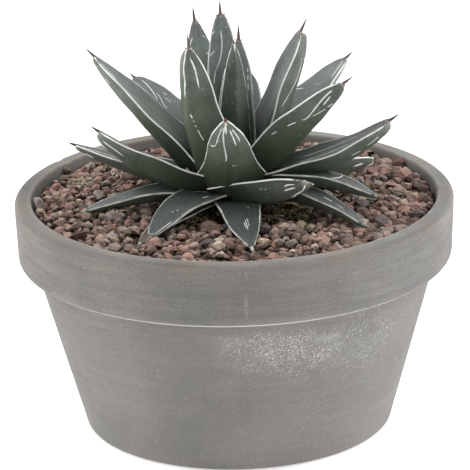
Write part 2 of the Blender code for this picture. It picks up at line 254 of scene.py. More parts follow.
def clay_pan():
    """Turns the pan's profile: x = (r + ripple) cos a, y = (r + ripple) sin a, z = the profile's height.

    The ripple is the sum of sines of the height, as a rib leaves in wet clay, and of one of the angle. A chip
    is a small bell-shaped dent of the rim about its own angle.
    """
    slope = math.degrees(math.atan2(COLLAR_FOOT, BODY_TOP_RADIUS - BASE_RADIUS))
    profile = bend((RIM_RADIUS - RIM_ROUNDING, PAN_HEIGHT - RIM_ROUNDING), RIM_ROUNDING, 90, 0, 9)
    profile += bend((SIDE_FOOT_RADIUS - COLLAR_ROUNDING, COLLAR_FOOT + COLLAR_ROUNDING), COLLAR_ROUNDING,
                    0, -90, 11)
    profile += bend((BODY_TOP_RADIUS + CREASE_ROUNDING, COLLAR_FOOT - CREASE_ROUNDING), CREASE_ROUNDING,
                    90, 180, 4)
    profile += bend((BASE_RADIUS - BASE_INSET, BASE_ROUNDING), BASE_ROUNDING, slope - 90, -90, 7)
    profile += [(DRAIN_RADIUS + CREASE_ROUNDING, 0.0), (DRAIN_RADIUS, CREASE_ROUNDING),
                (DRAIN_RADIUS, PAN_FLOOR), *INNER_WALL]
    profile += bend((LIP_RADIUS, PAN_HEIGHT - LIP_ROUNDING), LIP_ROUNDING, 180, 90, 5)
    profile = thickened(profile, PROFILE_PITCH, True)
    angle = np.linspace(0.0, math.tau, PAN_STEPS, endpoint=False)
    radius, height = profile[:, :1], profile[:, 1:]
    outside = np.clip((radius - 60.0 * MM) / (10.0 * MM), 0.0, 1.0)
    ripple = 0.015 * np.sin(height / MM * 2.1 + 0.4 * np.sin(angle)) + 0.03 * np.sin(height / MM * 0.43 + 1.0)
    ripple = ripple + 0.10 * np.sin(2.0 * angle + height / MM * 0.02)
    turn = (angle - CHIP_ANGLE + math.pi) % math.tau - math.pi
    dent = np.exp(-(turn / 0.014) ** 2) * np.exp(-((height - PAN_HEIGHT) / CHIP_HEIGHT) ** 2)
    rippled = radius + outside * ripple * MM
    points = np.stack([rippled * np.cos(angle), rippled * np.sin(angle), height - CHIP_DEPTH * dent], -1)
    return points, ring_faces(len(profile), PAN_STEPS, closed=True)


class Finish:
    """A material in the making. add returns a new node, and the other methods return a node's output."""

    def __init__(self, name, roughness, specular=0.5):
        self.material = bpy.data.materials.new(name)
        self.material.use_nodes = True
        self.shader = self.material.node_tree.nodes["Principled BSDF"]
        self.shader.inputs["Roughness"].default_value = roughness
        self.shader.inputs["Specular IOR Level"].default_value = specular
        self.where = self.add("TexCoord").outputs["Object"]

    def add(self, kind, inputs=(), **settings):
        """A node of any kind."""
        return add_node(self.material.node_tree, kind, inputs, **settings)

    def own(self, name):
        """A number that the mesh keeps for each of its points."""
        return self.add("Attribute", attribute_name=name).outputs["Fac"]

    def noise(self, scale, detail, roughness=0.5, at=None):
        """Noise that varies about one half, on Object coordinates or at a given place."""
        at = self.where if at is None else at
        return self.add("TexNoise", {"Vector": at, "Scale": scale, "Detail": detail,
                                     "Roughness": roughness}).outputs["Fac"]

    def stretched(self, scale, at=None):
        """The place, with each of its axes scaled."""
        return self.add("Mapping", {"Vector": self.where if at is None else at, "Scale": scale}).outputs[0]

    def ranged(self, value, low, high, least=0.0, most=1.0):
        """least where the value is low or past it, most where it is high or past it, and even between."""
        return self.add("MapRange", {"Value": value, "From Min": low, "From Max": high, "To Min": least,
                                     "To Max": most}).outputs[0]

    def worked_out(self, operation, *values):
        """A sum of one, two or three numbers."""
        return self.add("Math", dict(enumerate(values)), operation=operation).outputs[0]

    def times(self, *shares):
        """The product of shares."""
        product = shares[0]
        for share in shares[1:]:
            product = self.worked_out("MULTIPLY", product, share)
        return product

    def ramp(self, share, *stops):
        """Colours along a share. Each stop is a place on it and a colour, from the lowest place up."""
        node = self.add("ValToRGB", {"Fac": share})
        elements = node.color_ramp.elements
        for number, (place, colour) in enumerate((stops[0], stops[-1])):
            elements[number].position = place
            elements[number].color = (*colour, 1.0)
        for place, colour in stops[1:-1]:
            elements.new(place).color = (*colour, 1.0)
        return node.outputs["Color"]

    def laid(self, share, below, colour, blend="MIX"):
        """A colour, given as three numbers or an output, laid over another by a share."""
        above = colour if hasattr(colour, "is_output") else (*colour, 1.0)
        return self.add("Mix", {"Factor": share, "A": below, "B": above}, data_type="RGBA",
                        blend_type=blend).outputs["Result"]

    def scaled(self, colour, share):
        """A colour made lighter or darker by a share."""
        return self.add("VectorMath", {0: colour, "Scale": share}, operation="SCALE").outputs[0]

    def dress(self, colour, height=None, strength=1.0, depth=MM):
        """Joins the colour to the shader, and the height as fine relief."""
        join = self.material.node_tree.links.new
        join(colour, self.shader.inputs["Base Color"])
        if height is not None:
            relief = self.add("Bump", {"Height": height, "Strength": strength, "Distance": depth})
            join(relief.outputs["Normal"], self.shader.inputs["Normal"])


clay = Finish("fired clay", 0.86, 0.25)
clay.shader.inputs["Diffuse Roughness"].default_value = 1.0
place = clay.add("SeparateXYZ", {"Vector": clay.where}).outputs


def near_spot(spot, reach, inner, outer):
    """How near the surface is to a spot: 1 at a share inner of its reach, 0 at a share outer."""
    apart = clay.add("VectorMath", {0: clay.where, 1: tuple(v * MM for v in spot)}, operation="SUBTRACT")
    apart = clay.add("VectorMath", {0: apart.outputs[0], 1: tuple(1.0 / (v * MM) for v in reach)},
                     operation="MULTIPLY")
    far = clay.add("VectorMath", {0: apart.outputs[0]}, operation="LENGTH")
    return clay.ranged(far.outputs["Value"], outer, inner)


@cache
def clay_noise(scale, detail, roughness, low, high, most=1.0, stretch=None):
    """Noise of one scale, cut so that it goes from 0 at low to most at high."""
    at = clay.stretched(stretch) if stretch else None
    return clay.ranged(clay.noise(scale, detail, roughness, at), low, high, 0.0, most)


def marked(surface, marks):
    """The surface's colour with each mark laid over it in turn."""
    for spot, reach, inner, outer, noises, colour in marks:
        share = clay.times(near_spot(spot, reach, inner, outer), *[clay_noise(*noise) for noise in noises])
        surface = clay.laid(share, surface, colour)
    return surface


fired = clay.ramp(clay_noise(24.0, 5.0, 0.6, 0.33, 0.68), (0.0, (0.196, 0.192, 0.176)),
                  (1.0, (0.254, 0.238, 0.222)))
fired = clay.laid(clay_noise(9.0, 3.0, 0.5, 0.50, 0.66, 0.5), fired, (0.262, 0.222, 0.214))
right_side = clay.ranged(place["X"], 0.0, 0.085)
fired = clay.laid(clay.times(right_side, clay_noise(30.0, 6.0, 0.65, 0.40, 0.62, 0.75)), fired,
                  (0.255, 0.264, 0.262))
near_rim = clay.ranged(place["Z"], 0.100, 0.112)
brush = clay_noise(1.0, 4.0, 0.65, 0.46, 0.66, 0.5, (30.0, 30.0, 330.0))
fired = clay.laid(clay.times(near_rim, brush), fired, (0.300, 0.226, 0.180))
turning = clay_noise(1.0, 5.0, 0.7, 0.30, 0.70, 1.0, (20.0, 20.0, 300.0))
fired = clay.laid(clay.ranged(place["Z"], 0.080, 0.084, 0.06, 0.15), fired, turning, "OVERLAY")
grain = clay_noise(1300.0, 4.0, 0.75, 0.28, 0.72)
fired = clay.laid(0.24, fired, grain, "OVERLAY")
collar = clay.ranged(place["Z"], 0.080, 0.084, 1.22, 1.20)
low_down = clay.ranged(place["Z"], 0.035, 0.004, 0.0, 0.10)
fired = clay.scaled(fired, clay.worked_out("ADD", collar, low_down))
limed = marked(fired, SMUDGES_AND_PAINTED_SHADE)
limed = clay.laid(clay_noise(760.0, 1.0, 0.5, 0.765, 0.785, 0.7), limed, (0.70, 0.69, 0.65))
limed = marked(limed, RUNS)
# A pale line along the collar's lower edge: partly worn lime, partly a painted highlight where the rounded
# edge catches light.
collar_foot_wear_and_highlight = clay.times(clay.ranged(place["Z"], 0.08360, 0.08285, 0.0, 0.95),
                    clay.ranged(place["Z"], 0.08200, 0.08225), clay_noise(60.0, 6.0, 0.7, 0.22, 0.46))
limed = clay.laid(collar_foot_wear_and_highlight, limed, (0.78, 0.76, 0.72))
level = clay.add("VectorMath", {0: clay.where, 1: (1.0, 1.0, 0.0)}, operation="MULTIPLY").outputs[0]
level = clay.add("VectorMath", {0: level}, operation="LENGTH").outputs["Value"]
# The top of the inner lip is painted lighter: a painted highlight.
lip_top_highlight = clay.times(clay.ranged(level, 0.0995, 0.0982), clay.ranged(place["Z"], 0.1112, 0.1126),
                 clay_noise(40.0, 6.0, 0.7, 0.34, 0.6, 0.5))
limed = clay.laid(lip_top_highlight, limed, (0.48, 0.44, 0.38))
clay.dress(limed, clay.worked_out("MULTIPLY_ADD", grain, 0.8, clay_noise(*SALT)), 0.28, 0.4 * MM)

pan_points, pan_faces = clay_pan()
pan = sheet_mesh("clay_pan", pan_points, pan_faces, clay.material)
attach(pan, "root")
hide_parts("pot")


# The soil: a dark potting mix with bits of bark in it, which shows in front of the stem and between stones.
# It fills the pan, and its top is loose and uneven. A bare patch is listed by its middle and half its widths.
SOIL_TOP = 102.6 * MM
SOIL_RADIUS = 95.6 * MM
SOIL_STEPS = 160
SOIL_SIDE = ((SOIL_RADIUS, 96.2 * MM), (88.4 * MM, 84.6 * MM), (66.0 * MM, 8.4 * MM), (0.5 * MM, 8.4 * MM))
BARE_RISE = 5.0 * MM
BARE_PATCHES = (((25.5, -21.0), (13.0, 17.5)), ((-34.5, -12.0), (5.5, 12.0)), ((-20.0, -20.0), (12.0, 16.0)))


def noise_field(x, y, seed, pitch):
    """A smooth uneven field: the sum of nine waves that run in nine directions drawn from the seed."""
    draw = np.random.default_rng(seed)
    waves = [draw.uniform(low, high, 9) for low, high in ((0, math.tau), (0, math.tau), (0.6, 1.8))]
    total = np.zeros(np.broadcast(x, y).shape)
    for turn, phase, stretch in zip(*waves):
        total += np.sin((x * math.cos(turn) + y * math.sin(turn)) * math.tau / (pitch * stretch) + phase)
    return total / 9.0


def bareness(x, y):
    """1 in the patches that the gravel leaves bare, 0 outside: twice (1.4 - the way out in half widths)."""
    bare = np.zeros(np.broadcast(x, y).shape)
    for (middle_x, middle_y), (half_x, half_y) in BARE_PATCHES:
        far = np.hypot((x / MM - middle_x) / half_x, (y / MM - middle_y) / half_y)
        bare = np.maximum(bare, np.clip((1.4 - far) / 0.5, 0.0, 1.0))
    return bare


def soil_height(x, y):
    """The soil's top: a mound about the stem, 4.2 exp(-(r / 24)^2) mm, with crumbs, and higher where bare."""
    crumbs = noise_field(x, y, 3, 3.4 * MM) * 1.0 * MM + noise_field(x, y, 4, 1.5 * MM) * 0.5 * MM
    mound = 4.2 * MM * np.exp(-(np.hypot(x, y) / (24.0 * MM)) ** 2)
    return SOIL_TOP + crumbs + mound + bareness(x, y) * np.maximum(BARE_RISE - mound, 0.0)


def soil_ball():
    """The soil as rings from the middle of its top, out to the wall and down to the pan's floor."""
    top = [(radius * MM, SOIL_TOP) for radius in np.linspace(0.5, SOIL_RADIUS / MM, 64)]
    profile = np.array(top + list(SOIL_SIDE))
    angle = np.linspace(0.0, math.tau, SOIL_STEPS, endpoint=False)
    radius, height = profile[:, :1], profile[:, 1:]
    x, y = radius * np.cos(angle), radius * np.sin(angle)
    loose = (height >= SOIL_TOP) & (radius < SOIL_RADIUS - 0.6 * MM)
    points = np.stack([x, y, np.where(loose, soil_height(x, y), height)], -1)
    return points, ring_faces(len(profile), SOIL_STEPS)


humus = Finish("potting soil", 0.96, 0.2)
crumb = humus.noise(420.0, 6.0, 0.75)
humus.dress(humus.ramp(crumb, (0.38, (0.012, 0.009, 0.007)), (0.75, (0.150, 0.112, 0.072))),
            crumb, 0.9, 1.2 * MM)
soil_points, soil_faces = soil_ball()
soil = sheet_mesh("potting_soil", soil_points, soil_faces, humus.material)
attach(soil, "root")
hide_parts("soil")


# The leaves: thick, stiff and keeled, of green tissue under a dull bloom of wax. They grow as a rosette from
# a short stem, the youngest in the middle, and each clasps the ones inside it.
TAPER = 2.6
FLARE_END = 0.45
BASE_SHARE = 0.8
BASE_END = 0.2
EDGE = 1.0 * MM
CHANNEL = 0.14
TIP_HALF_WIDTH = 0.9 * MM
MARGIN_WAVE = 0.11
SKIN_WAVE = 0.12 * MM
LEAF_ROWS = 64
OVER_COLUMNS = 15
UNDER_COLUMNS = 23
# A leaf is listed by the way it points, its rise at the base and at the tip, its length and width, how much
# its base flares, how blunt it is (less is blunter), the height and radius at which it leaves the stem, its
# keel's depth by its width and the length of its spine, and where they aren't 0 the sideways turn of its tip
# and the twist of its blade at both ends. Degrees and millimetres, and the youngest leaf comes first.
Leaf = namedtuple("Leaf", "points rise rise_at_tip length width flare blunt height radius keel spine "
                          "turn twist twist_at_tip", defaults=(0, 0, 0))
ROSETTE = [Leaf(*values) for values in (
    (100, 88, 89, 58, 14, 0.22, 0.64, 120, 1, 0.40, 5.0),
    (282, 86, 86, 70, 15.5, 0.05, 0.75, 120, 3, 0.40, 1.5),
    (72, 75, 88, 67, 18, 0.22, 0.64, 120, 3, 0.40, 7.5),
    (105, 77, 83, 80, 19, 0.22, 0.50, 119, 3, 0.40, 6.8, 1, 0, 0),
    (122, 62, 76, 78, 24, 0.22, 0.64, 119, 4, 0.40, 7.2),
    (14, 74, 61, 77, 29, 0.20, 0.38, 119, 5, 0.44, 7.8, 0, 0, -7),
    (227, 64, 80, 76, 30, 0.22, 0.58, 120, 5, 0.38, 6.8),
    (76, 46, 55, 54, 22, 0.22, 0.64, 119, 5, 0.38, 1.5),
    (95, 36, 30, 64, 24, 0.22, 0.64, 119, 6, 0.36, 5.0),
    (337, 52, 36, 71, 29, 0.16, 0.52, 124, 6, 0.40, 6.6, 0, -16, -26),
    (171, 45, 42, 82, 28, 0.30, 0.64, 123, 6, 0.40, 6.6, 0, 0, 3),
    (267, 46, 40, 73, 25, 0.95, 0.80, 118, 5, 0.36, 3.0),
    (30, 52, 30, 77, 33, 0.22, 0.60, 119, 6, 0.34, 5.6, 0, 0, -6),
    (144, 50, 30, 68, 32, 0.22, 0.50, 118, 6, 0.36, 3.5),
    (351, 8, 32.5, 74, 26, 0.20, 0.42, 125.5, 6, 0.42, 6.8),
    (193, 21, 31, 63.5, 26, 0.35, 0.44, 120, 7, 0.40, 5.2, -20, 12, 16),
    (125, 22, 18, 62, 24, 0.22, 0.64, 118, 6, 0.36, 5.0),
    (60, 24, 20, 64, 24, 0.22, 0.64, 118, 6, 0.36, 5.0),
    (301, 16, 17, 60, 28, 0.75, 0.42, 119, 7, 0.38, 1.0, 0, -4, -22),
    (174, 15, 16, 72, 22, 0.30, 0.60, 117, 6, 0.34, 4.5, 0, 0, 12),
    (37, 8, 4, 60, 22, 0.22, 0.64, 117, 6, 0.32, 4.5),
    (153, 9, 5, 58, 22, 0.22, 0.64, 117, 6, 0.32, 4.5),
    (341, 20, -28, 68, 18, 0.30, 0.64, 122, 6, 0.44, 3.0, -2, 0, -10),
    (15, 5, 3, 64, 20, 0.22, 0.55, 118, 6, 0.40, 3.5, 0, -30, -40),
    (80, 10, -8, 60, 20, 0.22, 0.64, 116, 6, 0.30, 4.0),
    (325, 16, -28, 73, 19, 0.35, 0.60, 118, 6, 0.38, 3.0, -8, -4, -18),
    (274, 8, -22, 65, 22, 0.30, 0.85, 116, 6, 0.26, 8.0, 8, 0, 0),
    (230, 14, -30, 62, 22, 0.35, 0.75, 117, 6, 0.28, 4.0, 9, 0, 0),
    (193, 12, -21, 69, 18, 0.35, 0.66, 116, 6, 0.36, 1.5, 0, 0, 6),
    (112, 9, -12, 60, 20, 0.22, 0.64, 115, 6, 0.28, 3.5),
    (228, 7, -18, 66, 15, 0.22, 0.64, 113, 6, 0.22, 1.5, 9, 0, 0),
)]
# By leaf: how withered it is, how light its under and upper faces are beside the rest, which is partly their
# wax bloom and partly painted light and shade, and how green it is about the middle of its length.
WITHERED_LEAVES = {31: 0.6}
UNDER_BLOOM_AND_PAINTED_LIGHT = {2: 0.74, 6: 0.88, 7: 0.88, 10: 0.88, 11: 0.92, 12: 1.08, 15: 1.1, 16: 0.95, 19: 0.72, 29: 1.15}
UPPER_BLOOM_AND_PAINTED_LIGHT = {3: 1.40, 4: 1.75, 5: 1.35, 6: 0.78, 8: 1.2, 11: 0.92, 13: 1.1, 15: 0.72, 27: 0.85, 29: 1.2}
GREEN_CORES = {5: 0.9, 10: 0.35, 7: 0.2, 11: 0.25, 2: 0.2, 16: 0.2}


def leaf_line(leaf, s):
    """The leaf's middle line at shares s of its length, with its forward, side and upper directions.

    The line starts on the stem. Its rise goes evenly from the base's to the tip's, and its heading turns
    with the square of the share. The side direction is level, turned about the line by the blade's twist.
    """
    fine = np.linspace(0.0, 1.0, 121)
    rise = np.radians(leaf.rise + (leaf.rise_at_tip - leaf.rise) * fine)
    heading = np.radians(leaf.points + leaf.turn * fine ** 2)
    forward = np.stack([np.cos(rise) * np.cos(heading), np.cos(rise) * np.sin(heading), np.sin(rise)], 1)
    level = np.stack([-np.sin(heading), np.cos(heading), 0.0 * heading], 1)
    twist = np.radians(leaf.twist + (leaf.twist_at_tip - leaf.twist) * fine)[:, None]
    side = np.cos(twist) * level + np.sin(twist) * np.cross(forward, level)
    step = leaf.length * MM / (len(fine) - 1)
    middle = np.vstack([np.zeros(3), np.cumsum((forward[1:] + forward[:-1]) / 2.0, axis=0) * step])
    away = math.radians(leaf.points)
    middle += np.array([leaf.radius * math.cos(away), leaf.radius * math.sin(away), leaf.height]) * MM
    shape = np.shape(s) + (3,)
    place, forward, side = [
        np.stack([np.interp(np.ravel(s), fine, values[:, axis]) for axis in range(3)], 1).reshape(shape)
        for values in (middle, forward, side)
    ]
    return place, forward, side, np.cross(forward, side)


def half_width(leaf, s):
    """Half the leaf's width: an ogive (1 - s^2.6)^blunt, flared at the base and drawn in at its very end.

    Two slow sines make the margin waver by about a thirtieth, more of it further out.
    """
    ogive = (1.0 - np.clip(s, 0.0, 1.0) ** TAPER) ** leaf.blunt
    flare = leaf.flare * np.clip(1.0 - s / FLARE_END, 0.0, 1.0) ** 2
    ramp = np.clip(s / BASE_END, 0.0, 1.0)
    waist = BASE_SHARE + (1.0 - BASE_SHARE) * ramp * ramp * (3.0 - 2.0 * ramp)
    waver = 1.0 + s * (0.026 * np.sin(15.0 * s + leaf.points) + 0.014 * np.sin(34.0 * s + 2.0 * leaf.points))
    return np.maximum(0.5 * leaf.width * MM * (ogive + flare) * waist * waver, TIP_HALF_WIDTH)


def margin_wave(leaf, s, hand):
    """How far a margin waves up and down: MARGIN_WAVE (1 - flare) width s (1 - s) sin(13 s + 2.4 hand)."""
    swing = MARGIN_WAVE * (1.0 - leaf.flare) * leaf.width * MM
    return swing * s * (1.0 - s) * np.sin(13.0 * s + leaf.points + 2.4 * hand)


def on_leaf(leaf, s, across, under):
    """Points of a leaf's face, and the directions out of it, at shares s along it and across it.

    The upper face lies at edge - dip (1 - across^2) above the middle line. The under face lies at
    edge + depth (1 - |across|^1.5) below it, which is the keel. across runs from -1 to 1, and both faces
    follow the margin's wave by across^2.
    """
    s, across = np.broadcast_arrays(np.asarray(s, float), np.asarray(across, float))
    place, forward, side, upper = leaf_line(leaf, s)
    width = half_width(leaf, s)
    edge = 0.5 * np.minimum(EDGE, width)
    thin = 0.6 + 0.4 * np.clip(s / BASE_END, 0.0, 1.0)
    depth = (leaf.keel * 2.0 * width * (1.0 - 0.25 * s) + 0.6 * MM) * thin
    dip = CHANNEL * width * (1.0 - 0.6 * s)
    if under:
        height = -edge - depth * (1.0 - np.abs(across) ** 1.5)
        slope = 1.5 * depth * np.sqrt(np.abs(across)) * np.sign(across) / width
    else:
        height = edge - dip * (1.0 - across ** 2)
        slope = 2.0 * dip * across / width
    height = height + margin_wave(leaf, s, np.sign(across)) * across ** 2
    point = place + side * (width * across)[..., None] + upper * height[..., None]
    out = (upper - side * slope[..., None]) * (-1.0 if under else 1.0)
    return point, out / np.linalg.norm(out, axis=-1, keepdims=True)


def leaf_blade(leaf):
    """The leaf as rings: across the upper face from -1 to 1, then back under the keel, at each share s.

    The shares crowd towards the tip, and the ring's points towards the edges. Fine waves, SKIN_WAVE high, run
    along the leaf. Returns points, faces, and for each point (across, s, face), where face is 1 underneath.
    """
    s = np.linspace(0.0, 1.0, LEAF_ROWS) ** 0.9
    top = np.sin(np.linspace(-math.pi / 2, math.pi / 2, OVER_COLUMNS))
    below = np.sin(np.linspace(math.pi / 2, -math.pi / 2, UNDER_COLUMNS))
    over, over_out = on_leaf(leaf, s[:, None], top[None, :], False)
    beneath, beneath_out = on_leaf(leaf, s[:, None], below[None, :], True)
    rings = np.concatenate([over, beneath], 1)
    out = np.concatenate([over_out, beneath_out], 1)
    across = np.concatenate([top, below])
    face = np.concatenate([np.zeros(len(top)), np.ones(len(below))])
    phase = leaf.points * 0.7
    waves = np.sin(9.0 * across[None, :] + 5.0 * s[:, None] + phase) * np.sin(14.0 * s[:, None] + phase)
    rings = rings + out * (SKIN_WAVE * waves * (1.0 - across ** 2))[..., None]
    rows, count = rings.shape[:2]
    marks = np.stack([np.broadcast_to(across, (rows, count)), np.broadcast_to(s[:, None], (rows, count)),
                      np.broadcast_to(face, (rows, count))], -1)
    return rings.reshape(-1, 3), ring_faces(rows, count), marks.reshape(-1, 3)


def remember(item, **numbers):
    """Keeps named numbers for a piece's points, one each or one for all, for its material to read."""
    for name, values in numbers.items():
        kept = item.data.attributes.new(name, "FLOAT", "POINT")
        values = np.broadcast_to(values, np.shape(values) or len(item.data.vertices))
        kept.data.foreach_set("value", np.asarray(values, np.float32).ravel())


skin = Finish("agave skin", 0.52, 0.35)
along, face = skin.own("along"), skin.own("face")
lengthways = skin.add("CombineXYZ", {"X": skin.own("across"), "Y": along, "Z": skin.own("tint")}).outputs[0]
fibre = skin.noise(1.6, 6.0, 0.62, skin.stretched((4.0, 1.1, 31.0), lengthways))
both = skin.add("Mix", {"Factor": 0.65, "A": fibre, "B": skin.noise(75.0, 5.0, 0.62)}).outputs["Result"]
above = skin.ramp(both, (0.36, (0.086, 0.104, 0.096)), (0.66, (0.176, 0.200, 0.194)))
underneath = skin.ramp(both, (0.36, (0.080, 0.104, 0.076)), (0.66, (0.176, 0.204, 0.174)))
green = skin.laid(skin.own("age"), skin.laid(face, above, underneath), (0.215, 0.165, 0.105))
# Towards each leaf's base the colour goes to a deep green that darkens to near black: painted shade,
# strongest on the under face.
foot = skin.add("MapRange", {"Value": along, "From Min": 0.84, "From Max": 0.12, "To Max": 0.95},
                interpolation_type="SMOOTHSTEP").outputs[0]
foot = skin.times(foot, skin.ranged(face, 0.0, 1.0, 0.62, 1.0))
painted_shade_at_base = skin.ramp(along, (0.06, (0.012, 0.016, 0.006)), (0.34, (0.024, 0.042, 0.014)),
                        (0.62, (0.066, 0.102, 0.054)))
green = skin.laid(skin.own("core"), skin.laid(foot, green, painted_shade_at_base), (0.062, 0.098, 0.038))
# Each leaf's colour is scaled by its bloom and by painted light and shade.
green = skin.scaled(green, skin.own("bloom"))
green = skin.laid(skin.ranged(along, 0.985, 1.0, 0.0, 0.7), green, (0.30, 0.25, 0.19))
chalk = skin.times(skin.ranged(skin.noise(620.0, 2.0, 0.6), 0.60, 0.74, 0.0, 0.45),
                   skin.worked_out("SUBTRACT", 1.0, foot))
skin.dress(skin.laid(chalk, green, (0.36, 0.38, 0.34)), both, 0.22, 0.8 * MM)

draw = np.random.default_rng(11)
for number, leaf in enumerate(ROSETTE, 1):
    points, faces, marks = leaf_blade(leaf)
    across, along, face = marks.T
    # Upper faces of leaves that lie flat are made darker. With the listed lightness per face, this is partly
    # bloom, partly painted light and shade.
    lying = np.clip(0.5 - (leaf.rise + leaf.rise_at_tip) / 120.0, 0.0, 0.5)
    upper_shade = UPPER_BLOOM_AND_PAINTED_LIGHT.get(number, 1.0) * (1.0 - 0.75 * lying)
    shade = np.where(face > 0.5, UNDER_BLOOM_AND_PAINTED_LIGHT.get(number, 1.0), upper_shade)
    core = GREEN_CORES.get(number, 0.0) * (1.0 - across ** 2) ** 2 * np.exp(-((along - 0.58) / 0.20) ** 2)
    blade = sheet_mesh(f"agave_leaf_{number:02d}", points, faces, skin.material)
    remember(blade, across=across, along=along, face=face, age=WITHERED_LEAVES.get(number, 0.0),
             tint=draw.uniform(0.0, 1.0), bloom=shade, core=core)
    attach(blade, "root")
    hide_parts(f"leaf_{number:02d}")


# The horny edges: a bone-white rim of dead tissue along both sides of each leaf, about a millimetre wide.
# It grows on the leaf, and runs from the base to the foot of the spine.
EDGE_WIDTH = 0.52 * MM
EDGE_THICKNESS = 0.50 * MM
EDGE_INSET = 0.30 * MM
EDGE_ROWS = 56
LOW_LEAF_RISE = -10
LOW_LEAF_EDGE = 0.8
TUBE_SIDES = 8


def tube_points(path, flat, out, wide, high, sides=TUBE_SIDES):
    """Rings round a path: path + wide cos(a) flat + high sin(a) out, for angles a round each ring."""
    turn = np.linspace(0.0, math.tau, sides, endpoint=False)
    wide = np.broadcast_to(wide, path.shape[:-1])
    high = np.broadcast_to(high, path.shape[:-1])
    return (path[..., None, :]
            + (wide[..., None] * np.cos(turn))[..., None] * flat[..., None, :]
            + (high[..., None] * np.sin(turn))[..., None] * out[..., None, :])


def horny_edge(leaf, hand):
    """The edge's centre runs just inside the blade's side and follows its wave. Its width wavers by a tenth,
    and is less on the leaves that hang down.
    """
    s = np.linspace(0.015, 1.0, EDGE_ROWS)
    place, forward, side, upper = leaf_line(leaf, s)
    waver = 1.0 + 0.10 * np.sin(37.0 * s + leaf.points) + 0.07 * np.sin(83.0 * s + hand)
    taper = np.clip((1.0 - s) / 0.05, 0.75, 1.0)
    path = place + side * (hand * (half_width(leaf, s) - EDGE_INSET))[:, None]
    path += upper * margin_wave(leaf, s, hand)[:, None]
    wide = EDGE_WIDTH * (LOW_LEAF_EDGE if leaf.rise_at_tip < LOW_LEAF_RISE else 1.0)
    return tube_points(path, side * hand, upper * hand, wide * waver * taper, EDGE_THICKNESS * taper)


bone = Finish("horny edge", 0.5, 0.4)
stain = bone.noise(130.0, 5.0, 0.65)
bone.dress(bone.ramp(stain, (0.34, (0.66, 0.66, 0.60)), (0.6, (0.96, 0.97, 0.94))), stain, 0.2, 0.5 * MM)
rings = np.stack([horny_edge(leaf, hand) for leaf in ROSETTE for hand in (-1.0, 1.0)])
edges = sheet_mesh("horny_edges", rings, ring_faces(EDGE_ROWS, TUBE_SIDES, len(rings)), bone.material)
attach(edges, "root")


# The bud prints: raised white lines of horn that the leaves pressed into each other while they were in the
# bud. They lie on both faces, and a line like them runs down the keel from the leaf's point.
PRINT_ROWS = 22
PRINT_HEIGHT = 0.26 * MM
RIDGE_WIDTH = 0.45 * MM
RIDGE_HEIGHT = 0.32 * MM
RIDGE_END = 0.01 * MM
LONG_RIDGES = {7: 0.26, 19: 0.10}
